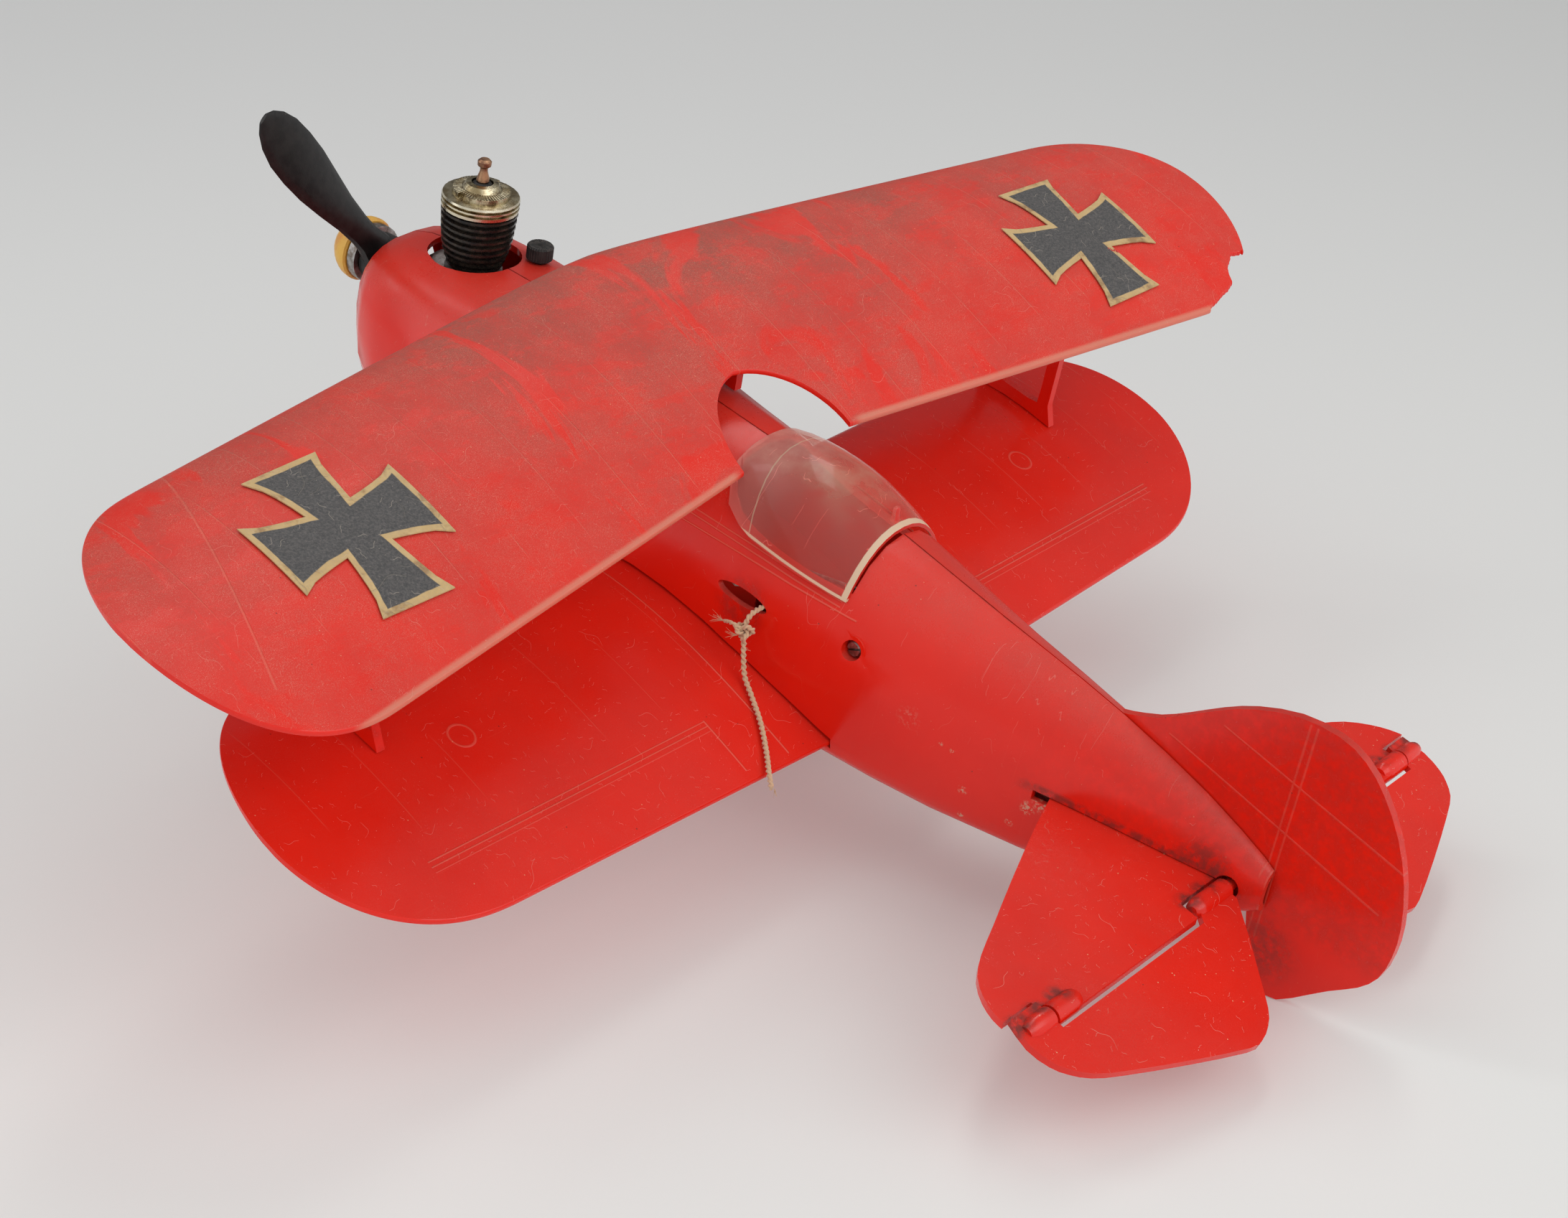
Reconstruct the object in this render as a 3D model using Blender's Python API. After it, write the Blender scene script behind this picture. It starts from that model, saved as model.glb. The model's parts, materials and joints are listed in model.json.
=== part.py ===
"""Small moulded-plastic control-line biplane with a glow engine.

The model is built in its own datum frame: nose along -Y, port side along +X, +Z up,
the stabilizer's hinge edge at y = 0, z = 0. A stance empty then pitches it nose-up,
so that both wheels and the foot of the rudder stand on z = 0.
All driving dimensions are in millimetres.
"""
import math

import bmesh
import bpy
import numpy as np
from mathutils import Matrix, Vector

MM = 0.001
GAP = 0.3

# Stance
STANCE_PITCH = math.radians(11.7)
STANCE_LIFT = 28.1
STANCE_SHIFT_Y = 116.47

# Skin thicknesses
FUSE_WALL = 1.6
WING_SKIN = 1.6
CANOPY_SKIN = 0.9

# Upper wing: leading and trailing edges at the centre, sweep and rise per mm of span
UPPER_TIP_X = 186.2
UPPER_LE = (-207.0, 62.6)
UPPER_TE = (-136.1, 42.3)
UPPER_SWEEP_LE = 0.134
UPPER_SWEEP_TE = 0.154
UPPER_RISE_LE = -0.0215
UPPER_RISE_TE = 0.0068
UPPER_ROLL = -0.016
UPPER_CAMBER = 5.9
UPPER_TIP_LEN = 41.0
UPPER_TIP_Y = 0.453
CUTOUT_R = 19.5

# Lower wing
LOWER_TIP_X = 162.0
LOWER_LE = (-170.2, 5.6)
LOWER_TE = (-94.8, -12.0)
LOWER_SWEEP_TE = -0.022
LOWER_DIHEDRAL = 0.025
LOWER_CAMBER = 4.5
LOWER_TIP_LEN = 41.5
LOWER_TIP_Y = 0.556
TIP_BLEND = 2.35
TIP_ROUND = 1.95

# Struts
STRUT_X_LOW = 124.0
STRUT_X_HIGH = 127.0
STRUT_Y_REAR = -141.0
STRUT_Y_FRONT = -161.0

# Engine
ENGINE_Y = -242.3
CRANK_Z = 30.5
HEAD_R = 9.9
BORE_R = 5.2
ROD_LEN = 16.0
THROW = 4.9
FIN_PITCH = 1.80
FIN_RADII = (7.2, 7.9, 8.5, 8.9, 9.15, 9.35, 9.5, 9.65, 9.8)
COWL_HOLE_R = 12.0
KNOB_X = -10.6
KNOB_Y = -230.0

# Propeller group, along y
SPINNER_RIM_Y = -280.0
SPINNER_R = 8.7
PROP_R = 67.6
PROP_TILT = math.radians(42.4)

# Tail
HINGE_Y = 4.2
HINGE_Z = -0.8
STAB_T = 1.8
ELEV_DROOP = math.radians(16.3)
HORN_LEN = 4.5

# Control run
BELL_X = 11.0
BELL_Y = -125.0
BELL_Z = 13.0
BELL_ARM = 7.8

# Landing gear
WHEEL_R = 17.0
WHEEL_X = 46.0
AXLE_Y = -215.0
AXLE_Z = -55.89
GEAR_FOOT_X = 8.0
GEAR_FOOT_Y = -214.0

# Fuselage stations: y, half width, top, bottom, height of greatest width, upper and lower roundness
STATIONS = (
    (-267.0, 13.0, 40.0, 18.0, 29.0, 2.6, 2.6),
    (-264.0, 18.5, 43.0, 11.0, 27.0, 2.7, 2.6),
    (-258.0, 23.0, 45.0, 4.0, 24.0, 2.9, 2.7),
    (-248.0, 26.4, 46.4, -3.0, 20.0, 3.1, 2.9),
    (-232.0, 28.0, 46.8, -9.0, 16.0, 3.1, 3.1),
    (-210.0, 28.0, 46.4, -14.0, 12.0, 3.0, 3.4),
    (-190.0, 27.2, 45.4, -16.4, 8.0, 2.8, 3.8),
    (-170.0, 26.2, 43.8, -17.6, 5.0, 2.6, 4.2),
    (-155.0, 25.4, 42.4, -18.0, 3.0, 2.4, 4.4),
    (-141.0, 24.8, 41.0, -18.3, 1.0, 2.3, 4.6),
    (-128.0, 24.2, 39.6, -18.5, 0.0, 2.2, 4.8),
    (-114.0, 23.2, 37.8, -18.6, 0.0, 2.2, 4.8),
    (-98.0, 21.6, 35.4, -19.2, -1.0, 2.15, 4.8),
    (-84.0, 19.4, 32.6, -20.0, -2.0, 2.1, 4.8),
    (-68.0, 16.6, 29.4, -20.3, -3.0, 2.05, 4.8),
    (-45.0, 12.4, 25.2, -19.2, -4.0, 2.0, 4.6),
    (-32.0, 10.2, 22.4, -17.4, -3.6, 2.0, 4.4),
    (-20.0, 8.4, 19.2, -14.6, -2.6, 2.0, 4.2),
    (-8.0, 6.8, 15.4, -12.0, -1.6, 2.0, 3.8),
    (2.0, 5.2, 11.4, -9.0, -0.6, 2.0, 3.4),
    (9.0, 3.9, 8.2, -6.2, 0.4, 2.0, 3.0),
    (12.0, 3.0, 6.4, -4.4, 0.6, 2.0, 2.6),
)
SECTION_POINTS = 13

# Foot of the rudder: a short flat, level with the ground when the model stands
FOOT_Y = 16.4
FOOT_Z = -25.3
FOOT_LEN = 4.8

# Outline of the fin and rudder plate in the plane of symmetry: y, z
FIN_OUTLINE = (
    (-40.0, 20.5), (-32.0, 23.0), (-25.0, 26.0), (-18.5, 30.4), (-11.0, 36.0), (-3.4, 40.6),
    (6.8, 44.4), (16.9, 45.0), (24.0, 42.6), (30.0, 37.6), (36.0, 29.6), (40.4, 20.0),
    (42.8, 10.0), (43.0, 2.0), (41.6, -4.6), (38.0, -9.6), (32.0, -14.6), (24.6, -21.6),
    (FOOT_Y + FOOT_LEN, FOOT_Z + FOOT_LEN * math.tan(STANCE_PITCH)), (FOOT_Y, FOOT_Z),
    (13.2, -22.0), (10.0, -14.0), (8.0, -6.0), (-4.0, -5.0),
    (-20.0, -6.0), (-30.0, -4.0), (-40.0, 4.0),
)
FIN_T = 2.2

# Port half of the stabilizer: x, y
STAB_OUTLINE = (
    (0.0, -43.5), (5.0, -42.0), (22.4, -35.6), (42.0, -27.6), (58.2, -20.6), (68.0, -16.4),
    (74.4, -12.6), (78.6, -7.8), (80.8, -3.6), (81.6, -0.5), (72.1, -0.5), (71.7, 6.6), (20.2, 6.6),
    (18.9, 1.1), (0.0, 1.1),
)

# Port elevator half before it is drooped: x, distance aft of the hinge axis
ELEV_OUTLINE = (
    (5.9, 0.6), (17.0, 0.6), (19.2, 3.6), (71.9, 3.6), (72.3, -3.9), (80.9, -3.9), (82.2, 2.5),
    (81.0, 8.0), (78.6, 11.6), (74.7, 15.0), (67.9, 18.4), (52.2, 24.9), (37.4, 30.4), (33.2, 30.8),
    (28.5, 29.2), (24.5, 26.3), (18.8, 19.6), (12.9, 12.7), (5.9, 3.7),
)

RED = ("red_plastic", (0.62, 0.018, 0.014, 1.0), 0.28, 0.0)
BLACK = ("black_plastic", (0.012, 0.012, 0.013, 1.0), 0.42, 0.0)
CLEAR = ("clear_plastic", (0.85, 0.80, 0.72, 0.35), 0.12, 0.0)
YELLOW = ("yellow_plastic", (0.78, 0.46, 0.05, 1.0), 0.45, 0.0)
STEEL = ("steel", (0.42, 0.42, 0.42, 1.0), 0.32, 1.0)
ALLOY = ("cast_alloy", (0.50, 0.50, 0.51, 1.0), 0.45, 1.0)
BLACK_METAL = ("blackened_steel", (0.018, 0.018, 0.020, 1.0), 0.35, 0.6)
HEAD_METAL = ("gilt_alloy", (0.52, 0.43, 0.24, 1.0), 0.36, 1.0)
COPPER = ("copper", (0.50, 0.27, 0.14, 1.0), 0.42, 1.0)
RUBBER = ("black_rubber", (0.02, 0.02, 0.02, 1.0), 0.85, 0.0)
NYLON = ("white_nylon", (0.72, 0.70, 0.64, 1.0), 0.5, 0.0)
PAPER = ("printed_paper", (0.05, 0.045, 0.04, 1.0), 0.7, 0.0)
STRING = ("twine_fibre", (0.68, 0.42, 0.24, 1.0), 0.9, 0.0)

_materials = {}


def material(spec):
    name, colour, rough, metal = spec
    if name not in _materials:
        mat = bpy.data.materials.new(name)
        mat.use_nodes = True
        bsdf = mat.node_tree.nodes["Principled BSDF"]
        bsdf.inputs["Base Color"].default_value = (colour[0], colour[1], colour[2], 1.0)
        bsdf.inputs["Roughness"].default_value = rough
        bsdf.inputs["Metallic"].default_value = metal
        bsdf.inputs["Alpha"].default_value = colour[3]
        mat.diffuse_color = colour
        _materials[name] = mat
    return _materials[name]


def clear_scene():
    for obj in list(bpy.data.objects):
        bpy.data.objects.remove(obj, do_unlink=True)


def make_stance():
    empty = bpy.data.objects.new("stance", None)
    bpy.context.scene.collection.objects.link(empty)
    empty.rotation_euler = (-STANCE_PITCH, 0.0, 0.0)
    empty.location = (0.0, STANCE_SHIFT_Y * MM, STANCE_LIFT * MM)
    return empty


def mesh_object(name, verts, faces, spec, origin=(0.0, 0.0, 0.0), sharp=35.0):
    """Make one closed body from points in datum millimetres."""
    ox, oy, oz = origin
    points = [((x - ox) * MM, (y - oy) * MM, (z - oz) * MM) for x, y, z in verts]
    mesh = bpy.data.meshes.new(name)
    mesh.from_pydata(points, [], faces)
    mesh.validate()
    bm = bmesh.new()
    bm.from_mesh(mesh)
    bmesh.ops.remove_doubles(bm, verts=bm.verts, dist=0.00001)
    bmesh.ops.recalc_face_normals(bm, faces=bm.faces)
    bm.to_mesh(mesh)
    bm.free()
    mesh.shade_smooth()
    mesh.set_sharp_from_angle(angle=math.radians(sharp))
    obj = bpy.data.objects.new(name, mesh)
    obj.data.materials.append(material(spec))
    bpy.context.scene.collection.objects.link(obj)
    obj.parent = STANCE
    obj.location = (ox * MM, oy * MM, oz * MM)
    return obj


def boolean(target, cutters, operation="DIFFERENCE", sharp=35.0):
    """Apply exact Booleans to the target and remove the cutters."""
    for cutter in cutters:
        mod = target.modifiers.new("cut", "BOOLEAN")
        mod.object = cutter
        mod.operation = operation
        mod.solver = "EXACT"
        graph = bpy.context.evaluated_depsgraph_get()
        result = bpy.data.meshes.new_from_object(target.evaluated_get(graph))
        target.modifiers.clear()
        old = target.data
        target.data = result
        bpy.data.meshes.remove(old)
        bpy.data.objects.remove(cutter, do_unlink=True)
    target.data.shade_smooth()
    target.data.set_sharp_from_angle(angle=math.radians(sharp))
    spec_mat = target.data.materials[0]
    target.data.materials.clear()
    target.data.materials.append(spec_mat)
    for poly in target.data.polygons:
        poly.material_index = 0
    return target


def grid_shell(outer, inner):
    """Closed skin between two point grids of the same size."""
    rows = len(outer)
    cols = len(outer[0])
    verts = [p for row in outer for p in row] + [p for row in inner for p in row]
    base = rows * cols
    faces = []
    for i in range(rows - 1):
        for j in range(cols - 1):
            a = i * cols + j
            b = a + cols
            faces.append((a, a + 1, b + 1, b))
            faces.append((base + a, base + b, base + b + 1, base + a + 1))
    for i in range(rows - 1):
        for j in (0, cols - 1):
            a = i * cols + j
            b = a + cols
            faces.append((a, b, base + b, base + a))
    for j in range(cols - 1):
        for i in (0, rows - 1):
            a = i * cols + j
            faces.append((a, a + 1, base + a + 1, base + a))
    return verts, faces


def loft(rings, closed_ends=True):
    """Skin a list of equal closed rings, capped at both ends."""
    n = len(rings[0])
    verts = [p for ring in rings for p in ring]
    faces = []
    for i in range(len(rings) - 1):
        for j in range(n):
            k = (j + 1) % n
            faces.append((i * n + j, i * n + k, (i + 1) * n + k, (i + 1) * n + j))
    if closed_ends:
        faces.append(tuple(range(n)))
        faces.append(tuple((len(rings) - 1) * n + j for j in reversed(range(n))))
    return verts, faces


def frame_axes(direction):
    d = Vector(direction).normalized()
    helper = Vector((0.0, 0.0, 1.0)) if abs(d.z) < 0.9 else Vector((1.0, 0.0, 0.0))
    u = d.cross(helper).normalized()
    v = d.cross(u).normalized()
    return d, u, v


def lathe(profile, centre, direction, sides=28, ring=False):
    """Turn (radius, distance) points about an axis; ring=True closes the profile on itself."""
    d, u, v = frame_axes(direction)
    c = Vector(centre)
    verts = []
    faces = []
    rows = []
    for r, h in profile:
        if r < 1e-6:
            rows.append([len(verts)])
            verts.append(tuple(c + d * h))
            continue
        row = []
        for k in range(sides):
            a = 2.0 * math.pi * k / sides
            row.append(len(verts))
            verts.append(tuple(c + d * h + (u * math.cos(a) + v * math.sin(a)) * r))
        rows.append(row)
    count = len(rows) if ring else len(rows) - 1
    for i in range(count):
        a_row = rows[i]
        b_row = rows[(i + 1) % len(rows)]
        if len(a_row) == 1 and len(b_row) == 1:
            continue
        for k in range(sides):
            m = (k + 1) % sides
            if len(a_row) == 1:
                faces.append((a_row[0], b_row[m], b_row[k]))
            elif len(b_row) == 1:
                faces.append((a_row[k], a_row[m], b_row[0]))
            else:
                faces.append((a_row[k], a_row[m], b_row[m], b_row[k]))
    if not ring:
        for row in (rows[0], rows[-1]):
            if len(row) > 1:
                faces.append(tuple(row))
    return verts, faces


def turned(name, profile, centre, direction, spec, sides=28, ring=False, origin=None, sharp=35.0):
    verts, faces = lathe(profile, centre, direction, sides, ring)
    return mesh_object(name, verts, faces, spec, origin or centre, sharp)


def box_points(low, high):
    x0, y0, z0 = low
    x1, y1, z1 = high
    verts = [(x0, y0, z0), (x1, y0, z0), (x1, y1, z0), (x0, y1, z0),
             (x0, y0, z1), (x1, y0, z1), (x1, y1, z1), (x0, y1, z1)]
    faces = [(0, 3, 2, 1), (4, 5, 6, 7), (0, 1, 5, 4), (1, 2, 6, 5), (2, 3, 7, 6), (3, 0, 4, 7)]
    return verts, faces


def box(name, low, high, spec=RED, origin=None):
    verts, faces = box_points(low, high)
    return mesh_object(name, verts, faces, spec, origin or low)


def prism(outline, low, high, axis="x"):
    """Extrude a closed outline between two planes across the named axis."""
    def place(p, h):
        if axis == "x":
            return (h, p[0], p[1])
        if axis == "y":
            return (p[0], h, p[1])
        return (p[0], p[1], h)
    n = len(outline)
    verts = [place(p, low) for p in outline] + [place(p, high) for p in outline]
    faces = [tuple(reversed(range(n))), tuple(range(n, 2 * n))]
    for j in range(n):
        k = (j + 1) % n
        faces.append((j, k, n + k, n + j))
    return verts, faces


def rod_rings(points, radius, sides=10):
    """Circular rings carried along a polyline with mitred corners."""
    pts = [Vector(p) for p in points]
    rings = []
    normal = None
    for i, p in enumerate(pts):
        before = (p - pts[i - 1]).normalized() if i else (pts[1] - p).normalized()
        after = (pts[i + 1] - p).normalized() if i < len(pts) - 1 else before
        tangent = (before + after).normalized()
        if normal is None:
            normal = frame_axes(tangent)[1]
        normal = (normal - tangent * normal.dot(tangent)).normalized()
        side = tangent.cross(normal)
        rings.append([tuple(p + (normal * math.cos(2 * math.pi * k / sides)
                                 + side * math.sin(2 * math.pi * k / sides)) * radius)
                      for k in range(sides)])
    return rings


def rod(name, points, radius, spec, sides=10, origin=None):
    verts, faces = loft(rod_rings(points, radius, sides))
    return mesh_object(name, verts, faces, spec, origin or points[0], 40.0)


def arc_points(centre, start, end, a0, a1, count):
    """Points on an arc in the plane spanned by the unit vectors start and end."""
    c, s, e = Vector(centre), Vector(start), Vector(end)
    out = []
    for k in range(count):
        a = a0 + (a1 - a0) * k / (count - 1)
        out.append(tuple(c + s * math.cos(a) + e * math.sin(a)))
    return out


# ---------------------------------------------------------------- fuselage

def station_values(y):
    """Interpolate the station table smoothly at one y."""
    ys = [s[0] for s in STATIONS]
    y = min(max(y, ys[0]), ys[-1])
    i = min(max(int(np.searchsorted(ys, y)) - 1, 0), len(ys) - 2)
    t = (y - ys[i]) / (ys[i + 1] - ys[i])
    out = []
    for c in range(1, 7):
        v0, v1 = STATIONS[i][c], STATIONS[i + 1][c]
        span = ys[i + 1] - ys[i]
        if i > 0:
            m0 = (v1 - STATIONS[i - 1][c]) / (ys[i + 1] - ys[i - 1])
        else:
            m0 = (v1 - v0) / span
        if i < len(ys) - 2:
            m1 = (STATIONS[i + 2][c] - v0) / (ys[i + 2] - ys[i])
        else:
            m1 = (v1 - v0) / span
        h00 = 2 * t ** 3 - 3 * t ** 2 + 1
        h10 = t ** 3 - 2 * t ** 2 + t
        h01 = -2 * t ** 3 + 3 * t ** 2
        h11 = t ** 3 - t ** 2
        out.append(h00 * v0 + h10 * span * m0 + h01 * v1 + h11 * span * m1)
    return out


def half_section(y, inset, sign, count=SECTION_POINTS, x_min=0.15):
    """Half cross-section from the top seam to the bottom seam."""
    w, zt, zb, zm, nu, nl = station_values(y)
    w, zt, zb = w - inset, zt - inset, zb + inset
    zm = min(max(zm, zb + 1.0), zt - 1.0)
    out = []
    for k in range(count):
        a = math.pi / 2 - math.pi * k / (count - 1)
        if a >= 0.0:
            n, top = nu, zt - zm
        else:
            n, top = nl, zm - zb
        c = max(math.cos(a), 0.0) ** (2.0 / n)
        s = abs(math.sin(a)) ** (2.0 / n)
        z = zm + top * s if a >= 0.0 else zm - top * s
        x = max(w * c, 0.0)
        out.append((sign * max(x, x_min), y, z))
    return out


def surface_x(y, z):
    """Half width of the fuselage's outer skin at one y and z."""
    w, zt, zb, zm, nu, nl = station_values(y)
    if z >= zm:
        s = min((z - zm) / (zt - zm), 1.0)
        n = nu
    else:
        s = min((zm - z) / (zm - zb), 1.0)
        n = nl
    return w * (1.0 - s ** n) ** (1.0 / n)


def fuselage_half(name, sign):
    ys = [s[0] for s in STATIONS]
    outer = [half_section(y, 0.0, sign) for y in ys]
    inner = [half_section(y, FUSE_WALL, sign) for y in ys]
    verts, faces = grid_shell(outer, inner)
    return mesh_object(name, verts, faces, RED)


def canopy_rim_z(y):
    """Lower rim of the canopy, level with the sill recess."""
    pts = ((-141.5, 38.6), (-139.0, 33.6), (-134.0, 29.8), (-128.0, 27.4), (-120.0, 25.8),
           (-110.0, 24.4), (-98.0, 23.2))
    return float(np.interp(y, [p[0] for p in pts], [p[1] for p in pts]))


def canopy_point(y, a, lift, inset):
    """Point on the canopy; a runs from -1 at the starboard rim to 1 at the port rim."""
    bulge = max(math.sin(math.pi * min(max((y + 143.0) / 46.0, 0.0), 1.0)), 0.0) ** 0.75
    w, zt, _zb, zm, nu, _nl = station_values(y)
    top = zt + lift + 5.0 * bulge
    wide = w + lift + 0.5 * bulge
    s_rim = (canopy_rim_z(y) - zm) / (top - zm)
    rim_angle = math.asin(min(max(s_rim, 0.0), 0.999) ** (nu / 2.0))
    angle = math.pi / 2 - abs(a) * (math.pi / 2 - rim_angle)
    c = max(math.cos(angle), 0.0) ** (2.0 / nu)
    s = math.sin(angle) ** (2.0 / nu)
    x = math.copysign(max((wide - inset) * c, 0.0), a)
    z = zm + (top - zm - inset) * s
    return (x, y, z)


def canopy_grid(lift, inset, y0=-141.0, y1=-99.6, rows=10, cols=15):
    grid = []
    for i in range(rows):
        y = y0 + (y1 - y0) * i / (rows - 1)
        grid.append([canopy_point(y, -1.0 + 2.0 * j / (cols - 1), lift, inset) for j in range(cols)])
    return grid


def make_canopy():
    outer = canopy_grid(GAP, 0.0)
    inner = canopy_grid(GAP, CANOPY_SKIN)
    verts, faces = grid_shell(outer, inner)
    return mesh_object("canopy", verts, faces, CLEAR, (0.0, -120.0, 35.0))


# ---------------------------------------------------------------- wings

def tip_curve(x, tip_x, length):
    """Fraction of the chord still present at x, from 1 inboard to 0 at the tip."""
    t = (abs(x) - (tip_x - length)) / length
    if t <= 0.0:
        return 1.0
    return max(1.0 - min(t, 1.0) ** TIP_BLEND, 0.0) ** (1.0 / TIP_ROUND)


def upper_edges(x):
    a = abs(x)
    le = UPPER_LE[0] + UPPER_SWEEP_LE * (math.sqrt(a * a + 20.0 ** 2) - 8.0)
    te = UPPER_TE[0] + UPPER_SWEEP_TE * a
    return le, te


def upper_z(x, y):
    """Upper surface of the upper wing."""
    le, te = upper_edges(x)
    u = min(max((y - le) / (te - le), 0.0), 1.0)
    front = UPPER_LE[1] + UPPER_RISE_LE * abs(x)
    back = UPPER_TE[1] + UPPER_RISE_TE * abs(x)
    camber = UPPER_CAMBER * 4.0 * u * (1.0 - u) * (1.25 - 0.5 * u)
    nose = -1.6 * math.exp(-u / 0.03)
    return front + (back - front) * u + camber + nose + UPPER_ROLL * x


def lower_edges(x):
    return LOWER_LE[0], LOWER_TE[0] + LOWER_SWEEP_TE * max(abs(x) - 20.0, 0.0)


def lower_z(x, y):
    """Upper surface of the lower wing."""
    le, te = lower_edges(x)
    u = min(max((y - le) / (te - le), 0.0), 1.0)
    line = LOWER_LE[1] + (LOWER_TE[1] - LOWER_LE[1]) * u
    camber = LOWER_CAMBER * 4.0 * u * (1.0 - u) * (1.25 - 0.5 * u)
    nose = -1.6 * math.exp(-u / 0.03)
    return line + camber + nose + LOWER_DIHEDRAL * max(abs(x) - 20.0, 0.0)


def wing_outline(x, edges, tip_x, tip_len, tip_y, cutout=0.0):
    """Leading and trailing edge at x, with rounded tips and an optional centre cutout."""
    le, te = edges(x)
    f = tip_curve(x, tip_x, tip_len)
    mid = le + (te - le) * tip_y
    le_x = mid + (le - mid) * f
    te_x = mid + (te - mid) * f
    if abs(x) < cutout:
        te_x = te_x - math.sqrt(max(cutout ** 2 - x * x, 0.0))
    return le_x, te_x


def span_stations(tip_x, tip_len, cutout, plain):
    """Half-span stations, close together round the cutout and at the tip."""
    xs = []
    if cutout > 0.0:
        for k in range(7):
            xs.append(cutout * math.sin(0.5 * math.pi * k / 6))
        start = cutout
    else:
        xs.append(0.0)
        start = 0.0
    root = tip_x - tip_len
    for k in range(1, plain + 1):
        xs.append(start + (root - start) * k / plain)
    for k in range(1, 9):
        xs.append(root + (tip_len - 0.25) * math.sin(0.5 * math.pi * k / 8))
    return xs


CHORD_FRACTIONS = (0.0, 0.025, 0.08, 0.18, 0.32, 0.48, 0.65, 0.82, 1.0)


def wing_skin(name, edges, surface, tip_x, tip_len, tip_y, cutout, plain, origin):
    half = span_stations(tip_x, tip_len, cutout, plain)
    xs = [-x for x in reversed(half[1:])] + half
    top, bottom = [], []
    for x in xs:
        le, te = wing_outline(x, edges, tip_x, tip_len, tip_y, cutout)
        row_t, row_b = [], []
        for f in CHORD_FRACTIONS:
            y = le + (te - le) * f
            z = surface(x, y)
            row_t.append((x, y, z))
            yb = y
            if f < 0.03:
                yb = y + 0.9 * (1.0 - f / 0.03)
            row_b.append((x, yb, z - WING_SKIN))
        top.append(row_t)
        bottom.append(row_b)
    verts, faces = grid_shell(top, bottom)
    return mesh_object(name, verts, faces, RED, origin, 32.0)


def socket_cutter(x, y, z_low, z_high, radius=1.5):
    verts, faces = lathe(((radius, z_low), (radius, z_high)), (x, y, 0.0), (0.0, 0.0, 1.0), 14)
    return mesh_object("cutter", verts, faces, RED)


def boss(x, y, z_low, z_high, r_low, r_high):
    verts, faces = lathe(((r_low, z_low), (r_high, z_high)), (x, y, 0.0), (0.0, 0.0, 1.0), 16)
    return mesh_object("boss", verts, faces, RED)


def make_upper_wing():
    wing = wing_skin("upper_wing", upper_edges, upper_z, UPPER_TIP_X, UPPER_TIP_LEN, UPPER_TIP_Y,
                     CUTOUT_R, 6, (0.0, -160.0, 55.0))
    chip = ((-176.5, -104.5), (-170.6, -106.8), (-166.4, -104.6), (-163.2, -99.8), (-160.4, -100.6),
            (-157.0, -98.0), (-160.0, -88.0), (-178.0, -88.0))
    verts, faces = prism(chip, 40.0, 75.0, "z")
    return boolean(wing, [mesh_object("cutter", verts, faces, RED)])


def make_lower_wing():
    return wing_skin("lower_wing", lower_edges, lower_z, LOWER_TIP_X, LOWER_TIP_LEN, LOWER_TIP_Y,
                     0.0, 7, (0.0, -132.0, 0.0))


def strut_frame(side):
    """One-piece interplane strut: two legs joined by a foot rail and a head rail."""
    xl, xh = side * STRUT_X_LOW, side * STRUT_X_HIGH
    yr, yf = STRUT_Y_REAR, STRUT_Y_FRONT
    lift = 0.35

    def low_z(y):
        return lower_z(xl, y) + lift

    def high_z(y):
        return upper_z(xh, y) - WING_SKIN - lift

    outer = [(yf - 3.0, low_z(yf - 3.0)), (yf + 6.0, low_z(yf + 6.0)), (yr - 6.0, low_z(yr - 6.0)),
             (yr + 2.6, low_z(yr + 2.6)), (yr + 0.6, low_z(yr) + 5.0), (yr + 0.4, high_z(yr) - 5.0),
             (yr + 2.0, high_z(yr + 2.0)), (yr - 8.0, high_z(yr - 8.0)), (yf + 4.0, high_z(yf + 4.0)),
             (yf - 5.0, high_z(yf - 5.0)), (yf - 4.0, high_z(yf) - 5.0), (yf - 2.4, low_z(yf) + 5.0)]
    inner = [(yf + 1.6, low_z(yf) + 4.6), (yf + 6.0, low_z(yf + 6.0) + 3.4),
             (yr - 6.0, low_z(yr - 6.0) + 3.4), (yr - 3.0, low_z(yr) + 4.6),
             (yr - 2.8, low_z(yr) + 8.0), (yr - 3.0, high_z(yr) - 8.0), (yr - 3.4, high_z(yr) - 4.6),
             (yr - 8.0, high_z(yr - 8.0) - 3.4), (yf + 4.0, high_z(yf + 4.0) - 3.4),
             (yf + 0.2, high_z(yf) - 4.6), (yf + 0.2, high_z(yf) - 8.0), (yf + 1.2, low_z(yf) + 8.0)]
    z_low, z_high = low_z(yf), high_z(yf)

    def x_at(z):
        t = (z - z_low) / (z_high - z_low)
        return xl + (xh - xl) * t

    half = 1.15
    loops = []
    for pts, off in ((outer, -half), (outer, half), (inner, half), (inner, -half)):
        loops.append([(x_at(z) + off, y, z) for y, z in pts])
    n = len(outer)
    verts = [p for loop in loops for p in loop]
    faces = []
    for i in range(4):
        m = (i + 1) % 4
        for j in range(n):
            k = (j + 1) % n
            faces.append((i * n + j, i * n + k, m * n + k, m * n + j))
    name = "interplane_strut_port" if side > 0 else "interplane_strut_starboard"
    return mesh_object(name, verts, faces, RED, (xl, yr, low_z(yr)))


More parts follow.
